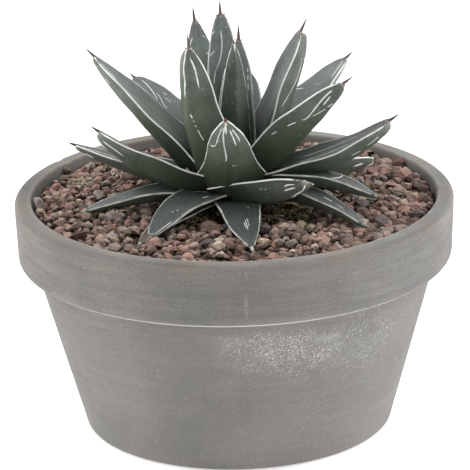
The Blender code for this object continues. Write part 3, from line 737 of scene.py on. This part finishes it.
# Prints are listed by leaf and face (1 under, 0 upper). Each is its width in tenths of a millimetre, and then
# its course over the face as pairs, in hundredths: a share of the leaf's length, and a place across the face
# from -1 to 1.
PRINTS = {
    (3, 0): ((6, 79, -80, 76, -76), (6, 74, -75, 70, -72), (6, 68, -71, 63, -70)),
    (4, 0): ((7, 90, 10, 85, 8, 80, -2, 76, 10, 70, 33, 66, 48), (6, 66, 52, 62, 60, 58, 66),
        (6, 89.5, 72, 88, 98), (6, 78, 60, 75, 92), (8, 91.5, -50, 91, -62)),
    (5, 0): ((7, 89, 58, 87.5, 72, 85, 80), (6, 90, -60, 88, -76), (6, 79, -45, 77, -60)),
    (6, 1): ((7, 86, -50, 77, -43, 70, -45, 64, -56, 58, -70, 54, -80), (6, 90.5, -12, 88, -20),
        (6, 86.5, -22, 85, -30)),
    (7, 1): ((8, 95, 50, 90, 61, 84, 62, 76.5, 60), (7, 60, 10, 57.5, 16), (5, 56, 18, 55, 20),
        (5, 53, 20, 51.5, 24), (6, 50, 26, 46, 30, 42, 36)),
    (8, 0): ((5, 86, -30, 82, -34),),
    (10, 1): ((8, 93, -74, 90, -73, 80, -62, 70, -52, 65.5, -60), (8, 90, -53, 82.5, -43),
        (6, 87, -10, 83, -18), (6, 81, -22, 72, -42), (7, 61, -66, 55, -74), (5, 47, -82, 43, -86)),
    (11, 1): ((5, 87, 52, 83, 54),),
    (11, 0): ((6, 95, 52, 88, 58, 82, 60),),
    (12, 1): ((9, 96.5, -20, 92, -34, 84, -25, 74, -17, 64, -13, 56.5, -13),
        (6, 93, -58, 84.5, -63, 75.5, -64, 70, -69), (6, 70, -68, 66.5, -76, 65.5, -90),
        (4, 78, -54, 75, -63), (8, 91, 46, 82, 47, 72, 47), (7, 90.5, 70, 82, 73, 73.5, 72),
        (4, 51, 16, 49.5, 18), (4, 50, 28, 49, 30)),
    (13, 0): ((6, 97, -50, 90, -62, 82, -70), (5, 97, -30, 90, -42, 84, -48), (5, 76.5, 0, 74.5, 15),
        (7, 66, 95, 69, 62), (5, 57, 10, 63, -30, 68, -60), (5, 56, -5, 60, -35)),
    (14, 0): ((7, 95, -30, 90, -30, 80, -10, 76, 0), (6, 81, -30, 75, -20, 70, -8, 66, -10),
        (6, 79, -62, 76, -65), (6, 75, -44, 70, -50)),
    (15, 1): ((8, 90, -58, 81, -50), (6, 75.5, -42, 69.5, -52)),
    (15, 0): ((5, 75, 35, 55, 30, 35, 25), (5, 70, -40, 50, -45, 35, -45)),
    (16, 1): ((8, 94, 55, 86, 58, 76.5, 52),),
    (19, 1): ((8, 86, -70, 91, -75, 95.5, -72), (8, 82.5, -48, 88, -51, 94.5, -48), (5, 65, -74, 64, -72),
        (4, 60, -78, 59, -78)),
    (20, 1): ((8, 93, 40, 86, 42),),
    (20, 0): ((6, 92, 30, 80, 36, 68, 34),),
    (23, 0): ((5, 70, 88, 69, 20, 65.5, -60),),
    (24, 1): ((9, 82, -52, 90, -58),),
    (26, 0): ((4, 62, 20, 70, 15), (4, 74, 5, 80, 2)),
    (26, 1): ((5, 76, -60, 75, -56),),
    (27, 0): ((4.5, 62, 12, 76, 15), (3.5, 66, 2, 74, 4), (3.5, 60, 25, 72, 27), (5, 42, 42, 41, 40)),
    (28, 0): ((5, 78, 74, 84, 72, 90, 64, 95, 50), (5, 30, 45, 36, 34), (5, 95.5, -60, 94.5, 30),
        (7, 66.5, 2, 65.5, 4), (6, 63.5, 20, 62.5, 22)),
    (29, 0): ((5, 70, 0, 69, 2),),
}
HIDDEN_UNDER = (1, 3, 4, 5, 8, 9, 13, 14, 17, 18, 21, 22, 25, 30)
HIDDEN_OVER = (1, 9, 17, 18, 21, 22, 24, 25, 30)


def hidden_prints():
    """Prints for the faces that no picture shows: on each a long pair that bows outwards, and a short one."""
    draw = np.random.default_rng(5)
    rows = []
    for under, numbers in ((1, HIDDEN_UNDER), (0, HIDDEN_OVER)):
        for number in numbers:
            for hand in (-1.0, 1.0):
                top, foot = draw.uniform(0.88, 0.94), draw.uniform(0.52, 0.68)
                out, near = draw.uniform(0.42, 0.66), draw.uniform(0.25, 0.50)
                rows.append((number, under, draw.uniform(0.55, 0.8),
                             (top, hand * near, (top + foot) / 2.0, hand * out, foot, hand * near)))
            start, side = draw.uniform(0.72, 0.86), draw.choice((-1.0, 1.0)) * draw.uniform(0.6, 0.8)
            rows.append((number, under, draw.uniform(0.5, 0.7), (start, side, start - 0.06, side * 1.05)))
    return rows


def nearing(points, rows):
    """A curve that nears a few points: in each coordinate a polynomial of degree three, or less for fewer."""
    points = np.asarray(points, float)
    knots, share = np.linspace(0.0, 1.0, len(points)), np.linspace(0.0, 1.0, rows)
    degree = min(3, len(points) - 1)
    return np.stack([np.polyval(np.polyfit(knots, column, degree), share) for column in points.T], 1)


def ridge(path, out, wide, high):
    """A flat tube along a path on a surface. It lies flat square to the path and to the way out."""
    flat = np.cross(np.gradient(path, axis=0), out)
    flat /= np.linalg.norm(flat, axis=-1, keepdims=True)
    return tube_points(path, flat, out, wide, high)


def swelling(rows, inset, fullness):
    """How thick a strand is along its length: the square root of fullness sin(pi share), up to 1."""
    share = np.clip(np.linspace(0.0, 1.0, rows), inset, 1.0 - inset)
    return np.sqrt(np.clip(np.sin(math.pi * share) * fullness, 0.0, 1.0))


def print_line(leaf, under, width, course):
    """A low ridge, half sunk in the leaf, on a curve that nears its course. Its width wavers by a tenth."""
    s, across = nearing(np.reshape(course, (-1, 2)), PRINT_ROWS).T
    path, out = on_leaf(leaf, np.clip(s, 0.0, 0.995), np.clip(across, -0.99, 0.99), under)
    waver = 0.90 + 0.10 * np.sin(31.0 * np.linspace(0.0, 1.0, PRINT_ROWS) + width * 50.0)
    swell = swelling(PRINT_ROWS, 0.02, 2.2) * waver
    return ridge(path, out, 0.5 * width * MM * swell, PRINT_HEIGHT * swell)


def keel_ridge(leaf, number):
    """The keel's own horny line under the leaf's point: it fades out from the tip down to a share foot."""
    foot = 0.93 - 0.05 * math.sin(number * 1.7) - LONG_RIDGES.get(number, 0.0)
    s = np.linspace(0.998, foot, PRINT_ROWS)
    path, out = on_leaf(leaf, s, 0.03 * np.sin(40.0 * s + number), True)
    fade = np.clip((s - foot) / 0.03, 0.0, 1.0) * (0.85 + 0.15 * np.sin(90.0 * s))
    return ridge(path, out, RIDGE_WIDTH * fade + RIDGE_END, RIDGE_HEIGHT * fade + RIDGE_END)


every_print = [(number, under, line[0] / 10, np.array(line[1:]) / 100)
               for (number, under), lines in PRINTS.items() for line in lines]
rings = [print_line(ROSETTE[number - 1], bool(under), width, course)
         for number, under, width, course in every_print + hidden_prints()]
rings += [keel_ridge(leaf, number) for number, leaf in enumerate(ROSETTE, 1)]
print_faces = ring_faces(PRINT_ROWS, TUBE_SIDES, len(rings))
prints = sheet_mesh("bud_prints", np.stack(rings), print_faces, bone.material)
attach(prints, "root")


# The spines: each leaf ends in a stiff dark spine on a paler horny foot, which grips the leaf's point.
# It is part of the leaf, dead and hard, nearly black at its end. Some have a small spine on each side.
SPINE_ROWS = 14
SPINE_RADIUS = 0.95 * MM
SPINE_POINT = 0.05 * MM
SPINE_LIFT = 0.35 * MM
LOWEST_AIM = -0.12
SIDE_SPINE_RADIUS = 0.42 * MM
SIDE_SPINE_POINT = 0.04 * MM
SIDE_SPINE_AT = 0.985
# How young each spine looks: 1 is a red-brown new one and -1 a bleached old one. The rest are grey-brown.
SPINE_AGES = {12: 1.0, 10: 0.35, 11: 0.2, 28: -0.3, 23: -0.5, 26: -0.6, 31: -0.7, 29: -0.8, 19: -1, 27: -1}
SIDE_SPINE_AGE = -0.35
# The lengths of the two side spines in millimetres, by leaf.
SIDE_SPINES = {4: (1.8, 1.5), 5: (1.0, 0.7), 6: (0.8, 1.6), 7: (1.5, 0.7), 3: (1.6, 1.4), 15: (1.0, 1.3),
               13: (0.9, 1.1), 10: (1.2, 0.6), 16: (0.9, 0.9), 19: (1.3, 1.3), 14: (1.2, 0.8), 2: (0.7, 0.7)}


def end_spine(leaf):
    """A cone along the leaf's last direction: its radius is 0.95 (1 - q^1.3)^0.9 mm, q from foot to point.

    Where the leaf comes down onto the gravel, its spine lies nearly flat along the stones.
    """
    q = np.linspace(0.0, 1.0, SPINE_ROWS)
    place, forward, side, upper = leaf_line(leaf, np.array([0.975, 1.0]))
    ahead = np.array([forward[-1][0], forward[-1][1], max(forward[-1][2], LOWEST_AIM)])
    path = place[0] + np.outer(q, place[1] + ahead * leaf.spine * MM - place[0])
    path = path + np.outer(SPINE_LIFT * q ** 2, upper[-1])
    radius = np.maximum(SPINE_RADIUS * (1.0 - q ** 1.3) ** 0.9, SPINE_POINT)
    return tube_points(path, np.broadcast_to(side[-1], path.shape), np.broadcast_to(upper[-1], path.shape),
                       radius, radius)


def side_spine(leaf, hand, length):
    """A small hooked spine on the leaf's shoulder. Its radius is 0.42 (1 - q)^0.7 mm, q from foot to point.

    It starts out from the leaf and sweeps forward, from 20 to 65 degrees.
    """
    q = np.linspace(0.0, 1.0, SPINE_ROWS)
    place, forward, side, upper = [rows[0] for rows in leaf_line(leaf, np.array([SIDE_SPINE_AT]))]
    foot = place + side * hand * (half_width(leaf, np.array([SIDE_SPINE_AT]))[0] - 0.35 * MM)
    sweep = np.radians(20.0 + 45.0 * q)[:, None]
    step = np.cos(sweep) * side * hand + np.sin(sweep) * forward
    path = foot + np.cumsum(step, axis=0) * length * MM / SPINE_ROWS
    radius = np.maximum(SIDE_SPINE_RADIUS * (1.0 - q) ** 0.7, SIDE_SPINE_POINT)
    flat = np.broadcast_to(upper, path.shape)
    return tube_points(path, flat, np.cross(step, flat), radius, radius)


thorn = Finish("spine horn", 0.42, 0.5)
fresh = thorn.own("fresh")
reach = thorn.worked_out("MULTIPLY_ADD", thorn.noise(900.0, 3.0), 0.16, thorn.own("along"))
horn = thorn.ramp(reach, (0.10, (0.40, 0.36, 0.31)), (0.26, (0.145, 0.092, 0.076)),
                  (0.62, (0.060, 0.048, 0.046)))
young = thorn.ramp(reach, (0.2, (0.20, 0.085, 0.045)), (0.8, (0.075, 0.030, 0.020)))
bleached = thorn.ramp(reach, (0.0, (0.66, 0.62, 0.54)), (1.0, (0.42, 0.37, 0.30)))
horn = thorn.laid(thorn.worked_out("MAXIMUM", fresh, 0.0), horn, young)
old = thorn.worked_out("MAXIMUM", thorn.worked_out("MULTIPLY", fresh, -1.0), 0.0)
thorn.dress(thorn.laid(old, horn, bleached))

rings = [end_spine(leaf) for leaf in ROSETTE]
freshness = [SPINE_AGES.get(number, 0.0) for number in range(1, len(ROSETTE) + 1)]
for number, lengths in SIDE_SPINES.items():
    for hand, length in zip((-1.0, 1.0), lengths):
        rings.append(side_spine(ROSETTE[number - 1], hand, length))
        freshness.append(SIDE_SPINE_AGE)
spine_faces = ring_faces(SPINE_ROWS, TUBE_SIDES, len(rings))
spines = sheet_mesh("end_spines", np.stack(rings), spine_faces, thorn.material)
every_ring = (len(rings), SPINE_ROWS, TUBE_SIDES)
remember(spines, along=np.broadcast_to(np.linspace(0.0, 1.0, SPINE_ROWS)[None, :, None], every_ring),
         fresh=np.broadcast_to(np.array(freshness)[:, None, None], every_ring))
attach(spines, "root")


# The stem: short, thick and of woody fibre, rooted in the soil. The leaf bases hide it, and leave their
# scars round it.
STEM_RADIUS = 5.0 * MM
STEM_FOOT = 88.0 * MM
STEM_TOP = 116.5 * MM
STEM_STEPS = 32
stem_profile = [(0.2 * MM, STEM_TOP), (3.0 * MM, STEM_TOP), (STEM_RADIUS, STEM_TOP - 4 * MM),
                (STEM_RADIUS, STEM_FOOT + 3 * MM), (3.0 * MM, STEM_FOOT), (0.2 * MM, STEM_FOOT)]
stem_profile = thickened(stem_profile, 1.0 * MM, False)
radius, height = stem_profile[:, :1], stem_profile[:, 1:]
angle = np.linspace(0.0, math.tau, STEM_STEPS, endpoint=False)
scarred = radius * (1.0 + 0.06 * np.sin(height / MM * 2.4 + 2.0 * angle))
stem_rings = np.stack([scarred * np.cos(angle), scarred * np.sin(angle), height + 0.0 * scarred], -1)
bark = Finish("stem fibre", 0.85, 0.2)
strings = bark.noise(1.0, 4.0, 0.5, bark.stretched((600.0, 600.0, 60.0)))
bark.dress(bark.ramp(strings, (0.0, (0.06, 0.042, 0.022)), (1.0, (0.30, 0.24, 0.13))))
stem = sheet_mesh("short_stem", stem_rings, ring_faces(len(stem_profile), STEM_STEPS), bark.material)
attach(stem, "root")
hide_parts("stem")


# The gravel: crushed lava and mixed small stones, 4 to 8 mm, laid loose over the soil to just below the
# rim. The stones lie as they fell, two or three deep, and none pokes through a leaf that lies on them.
STONE_REACH = 95.9 * MM
BED_INSIDE = 12.0 * MM
BED_OUTSIDE = 94.5 * MM
HOLLOW_DEPTH = 2.4 * MM
STONE_KINDS = 16
STONE_POINTS = 26
LEAF_CLEARANCE = 0.95
LEAF_ABOVE = 122.0 * MM
GOLDEN_ANGLE = math.pi * (3.0 - math.sqrt(5.0))
# The bed's top is listed by radius and height, a layer by its number of stones, lift and turn, and a hollow
# under a leaf's tip by its middle and reach. Millimetres, and the turn in radians.
BED_HEIGHTS = ((0.0, 102.0), (14.0, 103.6), (34.0, 105.2), (58.0, 107.2), (78.0, 107.4), (96.2, 106.4))
STONE_LAYERS = ((1500, -1.4, 5), (1650, 0.4, 6), (1050, 1.6, 7))
TIP_HOLLOWS = ((-44.0, -53.0, 8.0), (12.0, -75.0, 5.0), (-62.0, -29.0, 6.0))


def bed_height(x, y):
    """The height of the gravel bed's own top, by the distance from the pan's axis."""
    return np.interp(np.hypot(x, y) / MM, *np.array(BED_HEIGHTS).T) * MM


def stone_kinds():
    """Lumpy stones: the hull of points spread evenly on a ball, each drawn in or out by up to a quarter."""
    draw = np.random.default_rng(21)
    kinds = []
    for kind in range(STONE_KINDS):
        count = np.arange(STONE_POINTS)
        height = 1.0 - 2.0 * (count + 0.5) / STONE_POINTS
        turn = count * GOLDEN_ANGLE
        ring = np.sqrt(1.0 - height ** 2)
        ball = np.stack([ring * np.cos(turn), ring * np.sin(turn), height], 1)
        ball += draw.normal(0.0, 0.11, (STONE_POINTS, 3))
        lean = draw.normal(size=(3, 3))
        ball *= (1.0 + 0.16 * np.sin(ball @ lean.T * 1.3).sum(axis=1, keepdims=True) / 1.6)
        shape = bmesh.new()
        for point in ball:
            shape.verts.new(point)
        hull = bmesh.ops.convex_hull(shape, input=shape.verts)
        spare = [v for v in set(hull["geom_interior"]) if isinstance(v, bmesh.types.BMVert)]
        bmesh.ops.delete(shape, geom=spare, context="VERTS")
        bmesh.ops.recalc_face_normals(shape, faces=shape.faces)
        shape.verts.index_update()
        kinds.append((np.array([v.co for v in shape.verts]),
                      np.array([[v.index for v in face.verts] for face in shape.faces])))
        shape.free()
    return kinds


def stone_beds():
    """Places the stones on sunflower spirals: radius by the square root of the share, and golden angles.

    Their sizes are lognormal, and larger at the right. The bed sinks by a bell shape in each hollow.
    """
    draw = np.random.default_rng(31)
    middles, sizes = [], []
    for count, lift, seed in STONE_LAYERS:
        share = (np.arange(count) + 0.5) / count
        radius = np.sqrt(BED_INSIDE ** 2 + share * (BED_OUTSIDE ** 2 - BED_INSIDE ** 2))
        angle = np.arange(count) * GOLDEN_ANGLE + seed
        x = radius * np.cos(angle) + draw.normal(0.0, 1.0 * MM, count)
        y = radius * np.sin(angle) + draw.normal(0.0, 1.1 * MM, count)
        size = np.clip(draw.lognormal(math.log(2.15), 0.28, count), 1.2, 4.2) * MM
        size *= 1.0 + 0.30 * np.clip((x / MM - 35.0) / 40.0, 0.0, 1.0)
        if lift > 1.0:
            size *= np.where(draw.uniform(size=count) < 0.05, 1.45, 1.0)
        z = bed_height(x, y) + lift * MM + draw.normal(0.0, 0.7 * MM, count)
        z += noise_field(x, y, 8, 30 * MM) * 1.2 * MM
        for hollow_x, hollow_y, reach in TIP_HOLLOWS:
            z -= HOLLOW_DEPTH * np.exp(-((x / MM - hollow_x) ** 2 + (y / MM - hollow_y) ** 2) / reach ** 2)
        middles.append(np.stack([x, y, z], 1))
        sizes.append(size)
    return np.vstack(middles), np.concatenate(sizes)


def clear_of_leaves(middles, sizes):
    """Which stones keep clear: no leaf's skin or end spine comes nearer to their middle than their size."""
    skins = []
    for leaf in ROSETTE:
        points = leaf_blade(leaf)[0]
        skins.append(points[points[:, 2] < LEAF_ABOVE][::3])
        skins.append(end_spine(leaf).reshape(-1, 3))
    skins = np.vstack(skins)
    clear = np.ones(len(middles), bool)
    for start in range(0, len(middles), 100):
        block = slice(start, start + 100)
        gap = np.linalg.norm(middles[block, None] - skins[None], axis=-1).min(axis=1)
        clear[block] = gap > sizes[block] * LEAF_CLEARANCE
    return clear


def tumbled(count, draw):
    """Turning matrices drawn evenly: the three columns of random unit quaternions."""
    q = draw.normal(size=(count, 4))
    w, x, y, z = (q / np.linalg.norm(q, axis=1, keepdims=True)).T
    return np.stack([
        np.stack([1 - 2 * (y * y + z * z), 2 * (x * y - z * w), 2 * (x * z + y * w)], 1),
        np.stack([2 * (x * y + z * w), 1 - 2 * (x * x + z * z), 2 * (y * z - x * w)], 1),
        np.stack([2 * (x * z - y * w), 2 * (y * z + x * w), 1 - 2 * (x * x + y * y)], 1),
    ], 1)


def laid_stones(kind, middles, sizes, stretches, turns):
    """One kind of stone at each middle: middle + turn (size stretch corner). Returns corners and faces."""
    corners, sides = kind
    shaped = corners[None] * stretches[:, None] * sizes[:, None, None]
    placed = np.einsum("nij,nkj->nki", turns, shaped) + middles[:, None]
    return placed, (sides[None] + (np.arange(len(middles)) * len(corners))[:, None, None]).reshape(-1, 3)


def lava_stone(name, dark, light, roughness=0.9):
    """A stone's material: its own tone between two colours, mottled, pitted and rough.

    What faces up is brighter, partly with dust and partly as a painted highlight, and what faces down is a
    tenth as bright, which is painted shade.
    """
    finish = Finish(name, roughness, 0.25)
    pits = finish.noise(950.0, 6.0, 0.75)
    lumps = finish.noise(340.0, 3.0, 0.6)
    mixed = finish.worked_out("MULTIPLY_ADD", finish.worked_out("ADD", pits, -0.5), 1.3, finish.own("tone"))
    shades = finish.ramp(mixed, (0.0, dark), (1.0, light))
    facing = finish.add("SeparateXYZ", {"Vector": finish.add("NewGeometry").outputs["Normal"]}).outputs["Z"]
    # Painted light: faces turned up are lighter, partly with dust, and faces turned down are darker.
    dust_and_painted_light = finish.scaled(shades, finish.ranged(facing, -0.1, 0.95, 0.10, 1.43))
    finish.dress(dust_and_painted_light, finish.worked_out("MULTIPLY_ADD", lumps, 1.6, pits), 1.0, 1.3 * MM)
    return finish.material


# The stones' finishes: each name's share of the stones, and its dark and its light colour.
LAVAS = (
    ("red_lava", 0.36, (0.060, 0.031, 0.025), (0.390, 0.243, 0.200)),
    ("brown_lava", 0.34, (0.050, 0.033, 0.027), (0.395, 0.282, 0.230)),
    ("grey_stones", 0.20, (0.050, 0.040, 0.038), (0.350, 0.284, 0.258)),
    ("tan_stones", 0.10, (0.110, 0.078, 0.055), (0.560, 0.448, 0.345)),
)
kinds = stone_kinds()
middles, sizes = stone_beds()
draw = np.random.default_rng(43)
covered = bareness(middles[:, 0], middles[:, 1]) < draw.uniform(0.25, 1.0, len(sizes))
kept = clear_of_leaves(middles, sizes) & covered
middles, sizes = middles[kept], sizes[kept]
x, y, z = middles.T
draw = np.random.default_rng(41)
turns = tumbled(len(middles), draw)
stretches = draw.uniform(0.72, 1.28, (len(middles), 3))
lots = draw.uniform(0.0, 1.0, len(middles))
shapes = draw.integers(0, STONE_KINDS, len(middles))
# A stone's tone is darker low in the bed, which is painted shade between the stones, darker in one spot at
# the left, and lighter along the left side.
tones = draw.normal(0.46, 0.30, len(middles)) + np.clip((z - bed_height(x, y)) / (6.0 * MM), -0.45, 0.2)
tones -= 0.35 * np.exp(-((x / MM + 62.0) / 9.0) ** 2 - ((y / MM - 36.0) / 13.0) ** 2)
tones += 0.22 * np.clip((-x / MM - 40.0) / 20.0, 0.0, 1.0)
tones = np.clip(tones, 0.0, 1.0)
share_before = 0.0
for name, share, dark, light in LAVAS:
    chosen = (lots >= share_before) & (lots < share_before + share)
    share_before += share
    points, faces, tone, start = [], [], [], 0
    for number, kind in enumerate(kinds):
        mine = np.flatnonzero(chosen & (shapes == number))
        placed, sides = laid_stones(kind, middles[mine], sizes[mine], stretches[mine], turns[mine])
        beyond = np.maximum(np.hypot(placed[..., 0], placed[..., 1]) / STONE_REACH, 1.0)
        placed[..., :2] /= beyond[..., None]
        points.append(placed.reshape(-1, 3))
        faces.append(sides + start)
        tone.append(np.repeat(tones[mine], placed.shape[1]))
        start += len(points[-1])
    lava = lava_stone(name, dark, light)
    stones = sheet_mesh(name, np.vstack(points), np.vstack(faces), lava, smooth=False)
    remember(stones, tone=np.concatenate(tone))
    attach(stones, "root")
    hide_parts("gravel")


# The litter: crumbs of soil and bark on the bare patches, dry roots and fibres, tufts of dry moss on the
# stones, and withered bits of leaf. It lies loose on the soil and between the stones, blown and washed there.
CRUMB_COUNT = 900
CRUMB_TRIES = 14000
CRUMB_REACH = 42.0
FIBRE_COUNT = 60
MOSS_COUNT = 30
MOSS_SPREAD = 3.2
MOSS_SPOTS = ((-52.0, 41.0), (-75.0, 28.0), (-56.0, -18.0), (54.0, 19.0), (-24.0, -26.0), (17.0, -30.0))
STRAND_ROWS = 20
STRAND_SIDES = 6
BIT_THICKNESS = 0.3 * MM
# Roots and bits are listed by their radius or half width and their course, in millimetres.
ROOTS = (
    (0.45, ((26.6, 0.6, 110.4), (29.5, -4.0, 110.8), (32.0, -8.0, 110.4), (34.8, -10.6, 109.4))),
    (0.36, ((12.0, -12.0, 107.0), (11.3, -12.0, 110.5), (12.0, -12.5, 112.0), (14.2, -13.0, 112.8))),
    (0.24, ((12.0, -12.4, 109.0), (13.0, -13.0, 110.5), (13.8, -13.5, 110.8), (15.6, -14.0, 110.2))),
    (0.30, ((16.0, -9.0, 107.6), (19.0, -14.0, 109.0), (23.0, -15.0, 108.4), (24.0, -21.0, 107.4))),
    (0.26, ((36.0, -4.0, 108.4), (33.0, -10.0, 109.6), (36.0, -15.0, 109.0), (34.0, -20.0, 107.6))),
    (0.30, ((-52.0, 49.0, 110.0), (-49.0, 51.0, 111.4), (-46.0, 49.0, 110.6), (-44.0, 45.0, 109.6))),
    (0.28, ((-40.0, -12.0, 109.0), (-36.0, -9.0, 110.0), (-33.0, -14.0, 109.0), (-35.0, -19.0, 108.4))),
)
WITHERED_BITS = (
    (1.5, ((20.0, -7.0, 108.0), (24.0, -9.5, 110.4), (28.5, -9.0, 110.0), (31.5, -12.0, 108.0))),
    (1.1, ((-30.0, -3.0, 108.6), (-27.0, -6.0, 110.0), (-23.0, -6.0, 109.4), (-20.0, -9.0, 108.0))),
    (1.0, ((-55.0, 52.0, 109.4), (-52.5, 50.0, 111.0), (-50.0, 50.5, 110.6), (-48.0, 48.0, 109.0))),
)


def strand(path, wide, high):
    """A tube along a path, widest at its middle and drawn in at both ends, that lies as flat as it can."""
    swell = swelling(len(path), 0.03, 1.8)
    ahead = np.gradient(path, axis=0)
    flat = np.cross(ahead, [0.0, 0.0, 1.0])
    flat /= np.maximum(np.linalg.norm(flat, axis=-1, keepdims=True), 1e-9)
    out = np.cross(flat, ahead)
    out /= np.linalg.norm(out, axis=-1, keepdims=True)
    return tube_points(path, flat, out, wide * swell, high * swell, STRAND_SIDES)


def creeping(draw, wander, shortest, longest):
    """A level path from the origin, whose heading wanders: the running sum of steps (cos turn, sin turn)."""
    turn = draw.uniform(0.0, math.tau) + np.cumsum(draw.normal(0.0, wander, STRAND_ROWS))
    step = draw.uniform(shortest, longest) * MM / STRAND_ROWS
    return np.cumsum(np.stack([np.cos(turn), np.sin(turn), 0.0 * turn], 1), axis=0) * step


draw = np.random.default_rng(61)
tried = draw.uniform(-CRUMB_REACH, CRUMB_REACH, (CRUMB_TRIES, 2)) * MM
inside = bareness(tried[:, 0], tried[:, 1]) > draw.uniform(0.3, 1.0, len(tried))
tried = tried[inside][:CRUMB_COUNT]
sizes = draw.lognormal(math.log(0.50), 0.42, len(tried)) * MM
middles = np.column_stack([tried, soil_height(tried[:, 0], tried[:, 1]) + 0.2 * MM])
kept = clear_of_leaves(middles, sizes)
middles, sizes = middles[kept], sizes[kept]
stretches = draw.uniform(0.6, 1.4, (len(middles), 3))
crumbs, faces = laid_stones(kinds[0], middles, sizes, stretches, tumbled(len(middles), draw))
bark_bits = lava_stone("bark_crumbs", (0.026, 0.020, 0.013), (0.500, 0.420, 0.270), 0.95)
litter = sheet_mesh("soil_crumbs", crumbs, faces, bark_bits, smooth=False)
remember(litter, tone=np.repeat(np.clip(draw.normal(0.38, 0.28, len(middles)), 0.0, 1.0), crumbs.shape[1]))
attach(litter, "root")

strands = [strand(nearing(course, STRAND_ROWS) * MM, radius * MM, radius * MM) for radius, course in ROOTS]
for spot in MOSS_SPOTS:
    for start in draw.normal(spot, MOSS_SPREAD, (MOSS_COUNT, 2)) * MM:
        path = creeping(draw, 0.22, 1.5, 5.0)
        path += (*start, bed_height(*start) + draw.uniform(3.0, 4.6) * MM)
        path[:, 2] += 0.8 * MM * np.sin(np.linspace(0.2, 2.9, STRAND_ROWS))
        radius = draw.uniform(0.16, 0.42) * MM
        strands.append(strand(path, radius, 0.6 * radius))
for start in middles[draw.integers(0, len(middles), FIBRE_COUNT)]:
    path = creeping(draw, 0.28, 3.0, 9.0) + start
    arch = (0.5 + 1.1 * np.sin(np.linspace(0.3, 2.8, STRAND_ROWS))) * MM
    path[:, 2] = soil_height(path[:, 0], path[:, 1]) + arch
    radius = draw.uniform(0.12, 0.24) * MM
    strands.append(strand(path, radius, radius))
straw = Finish("dry root", 0.8, 0.2)
straw.dress(straw.ramp(straw.noise(120.0, 4.0), (0.38, (0.20, 0.135, 0.075)), (0.62, (0.66, 0.60, 0.45))))
root_faces = ring_faces(STRAND_ROWS, STRAND_SIDES, len(strands))
roots = sheet_mesh("dry_roots", np.stack(strands), root_faces, straw.material)
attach(roots, "root")

husk = Finish("withered leaf", 0.8, 0.25)
husk.dress(husk.ramp(husk.noise(260.0, 4.0), (0.36, (0.17, 0.085, 0.035)), (0.64, (0.50, 0.38, 0.22))))
bits = [strand(nearing(course, STRAND_ROWS) * MM, wide * MM, BIT_THICKNESS) for wide, course in WITHERED_BITS]
bit_faces = ring_faces(STRAND_ROWS, STRAND_SIDES, len(bits))
flakes = sheet_mesh("withered_bits", np.stack(bits), bit_faces, husk.material)
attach(flakes, "root")
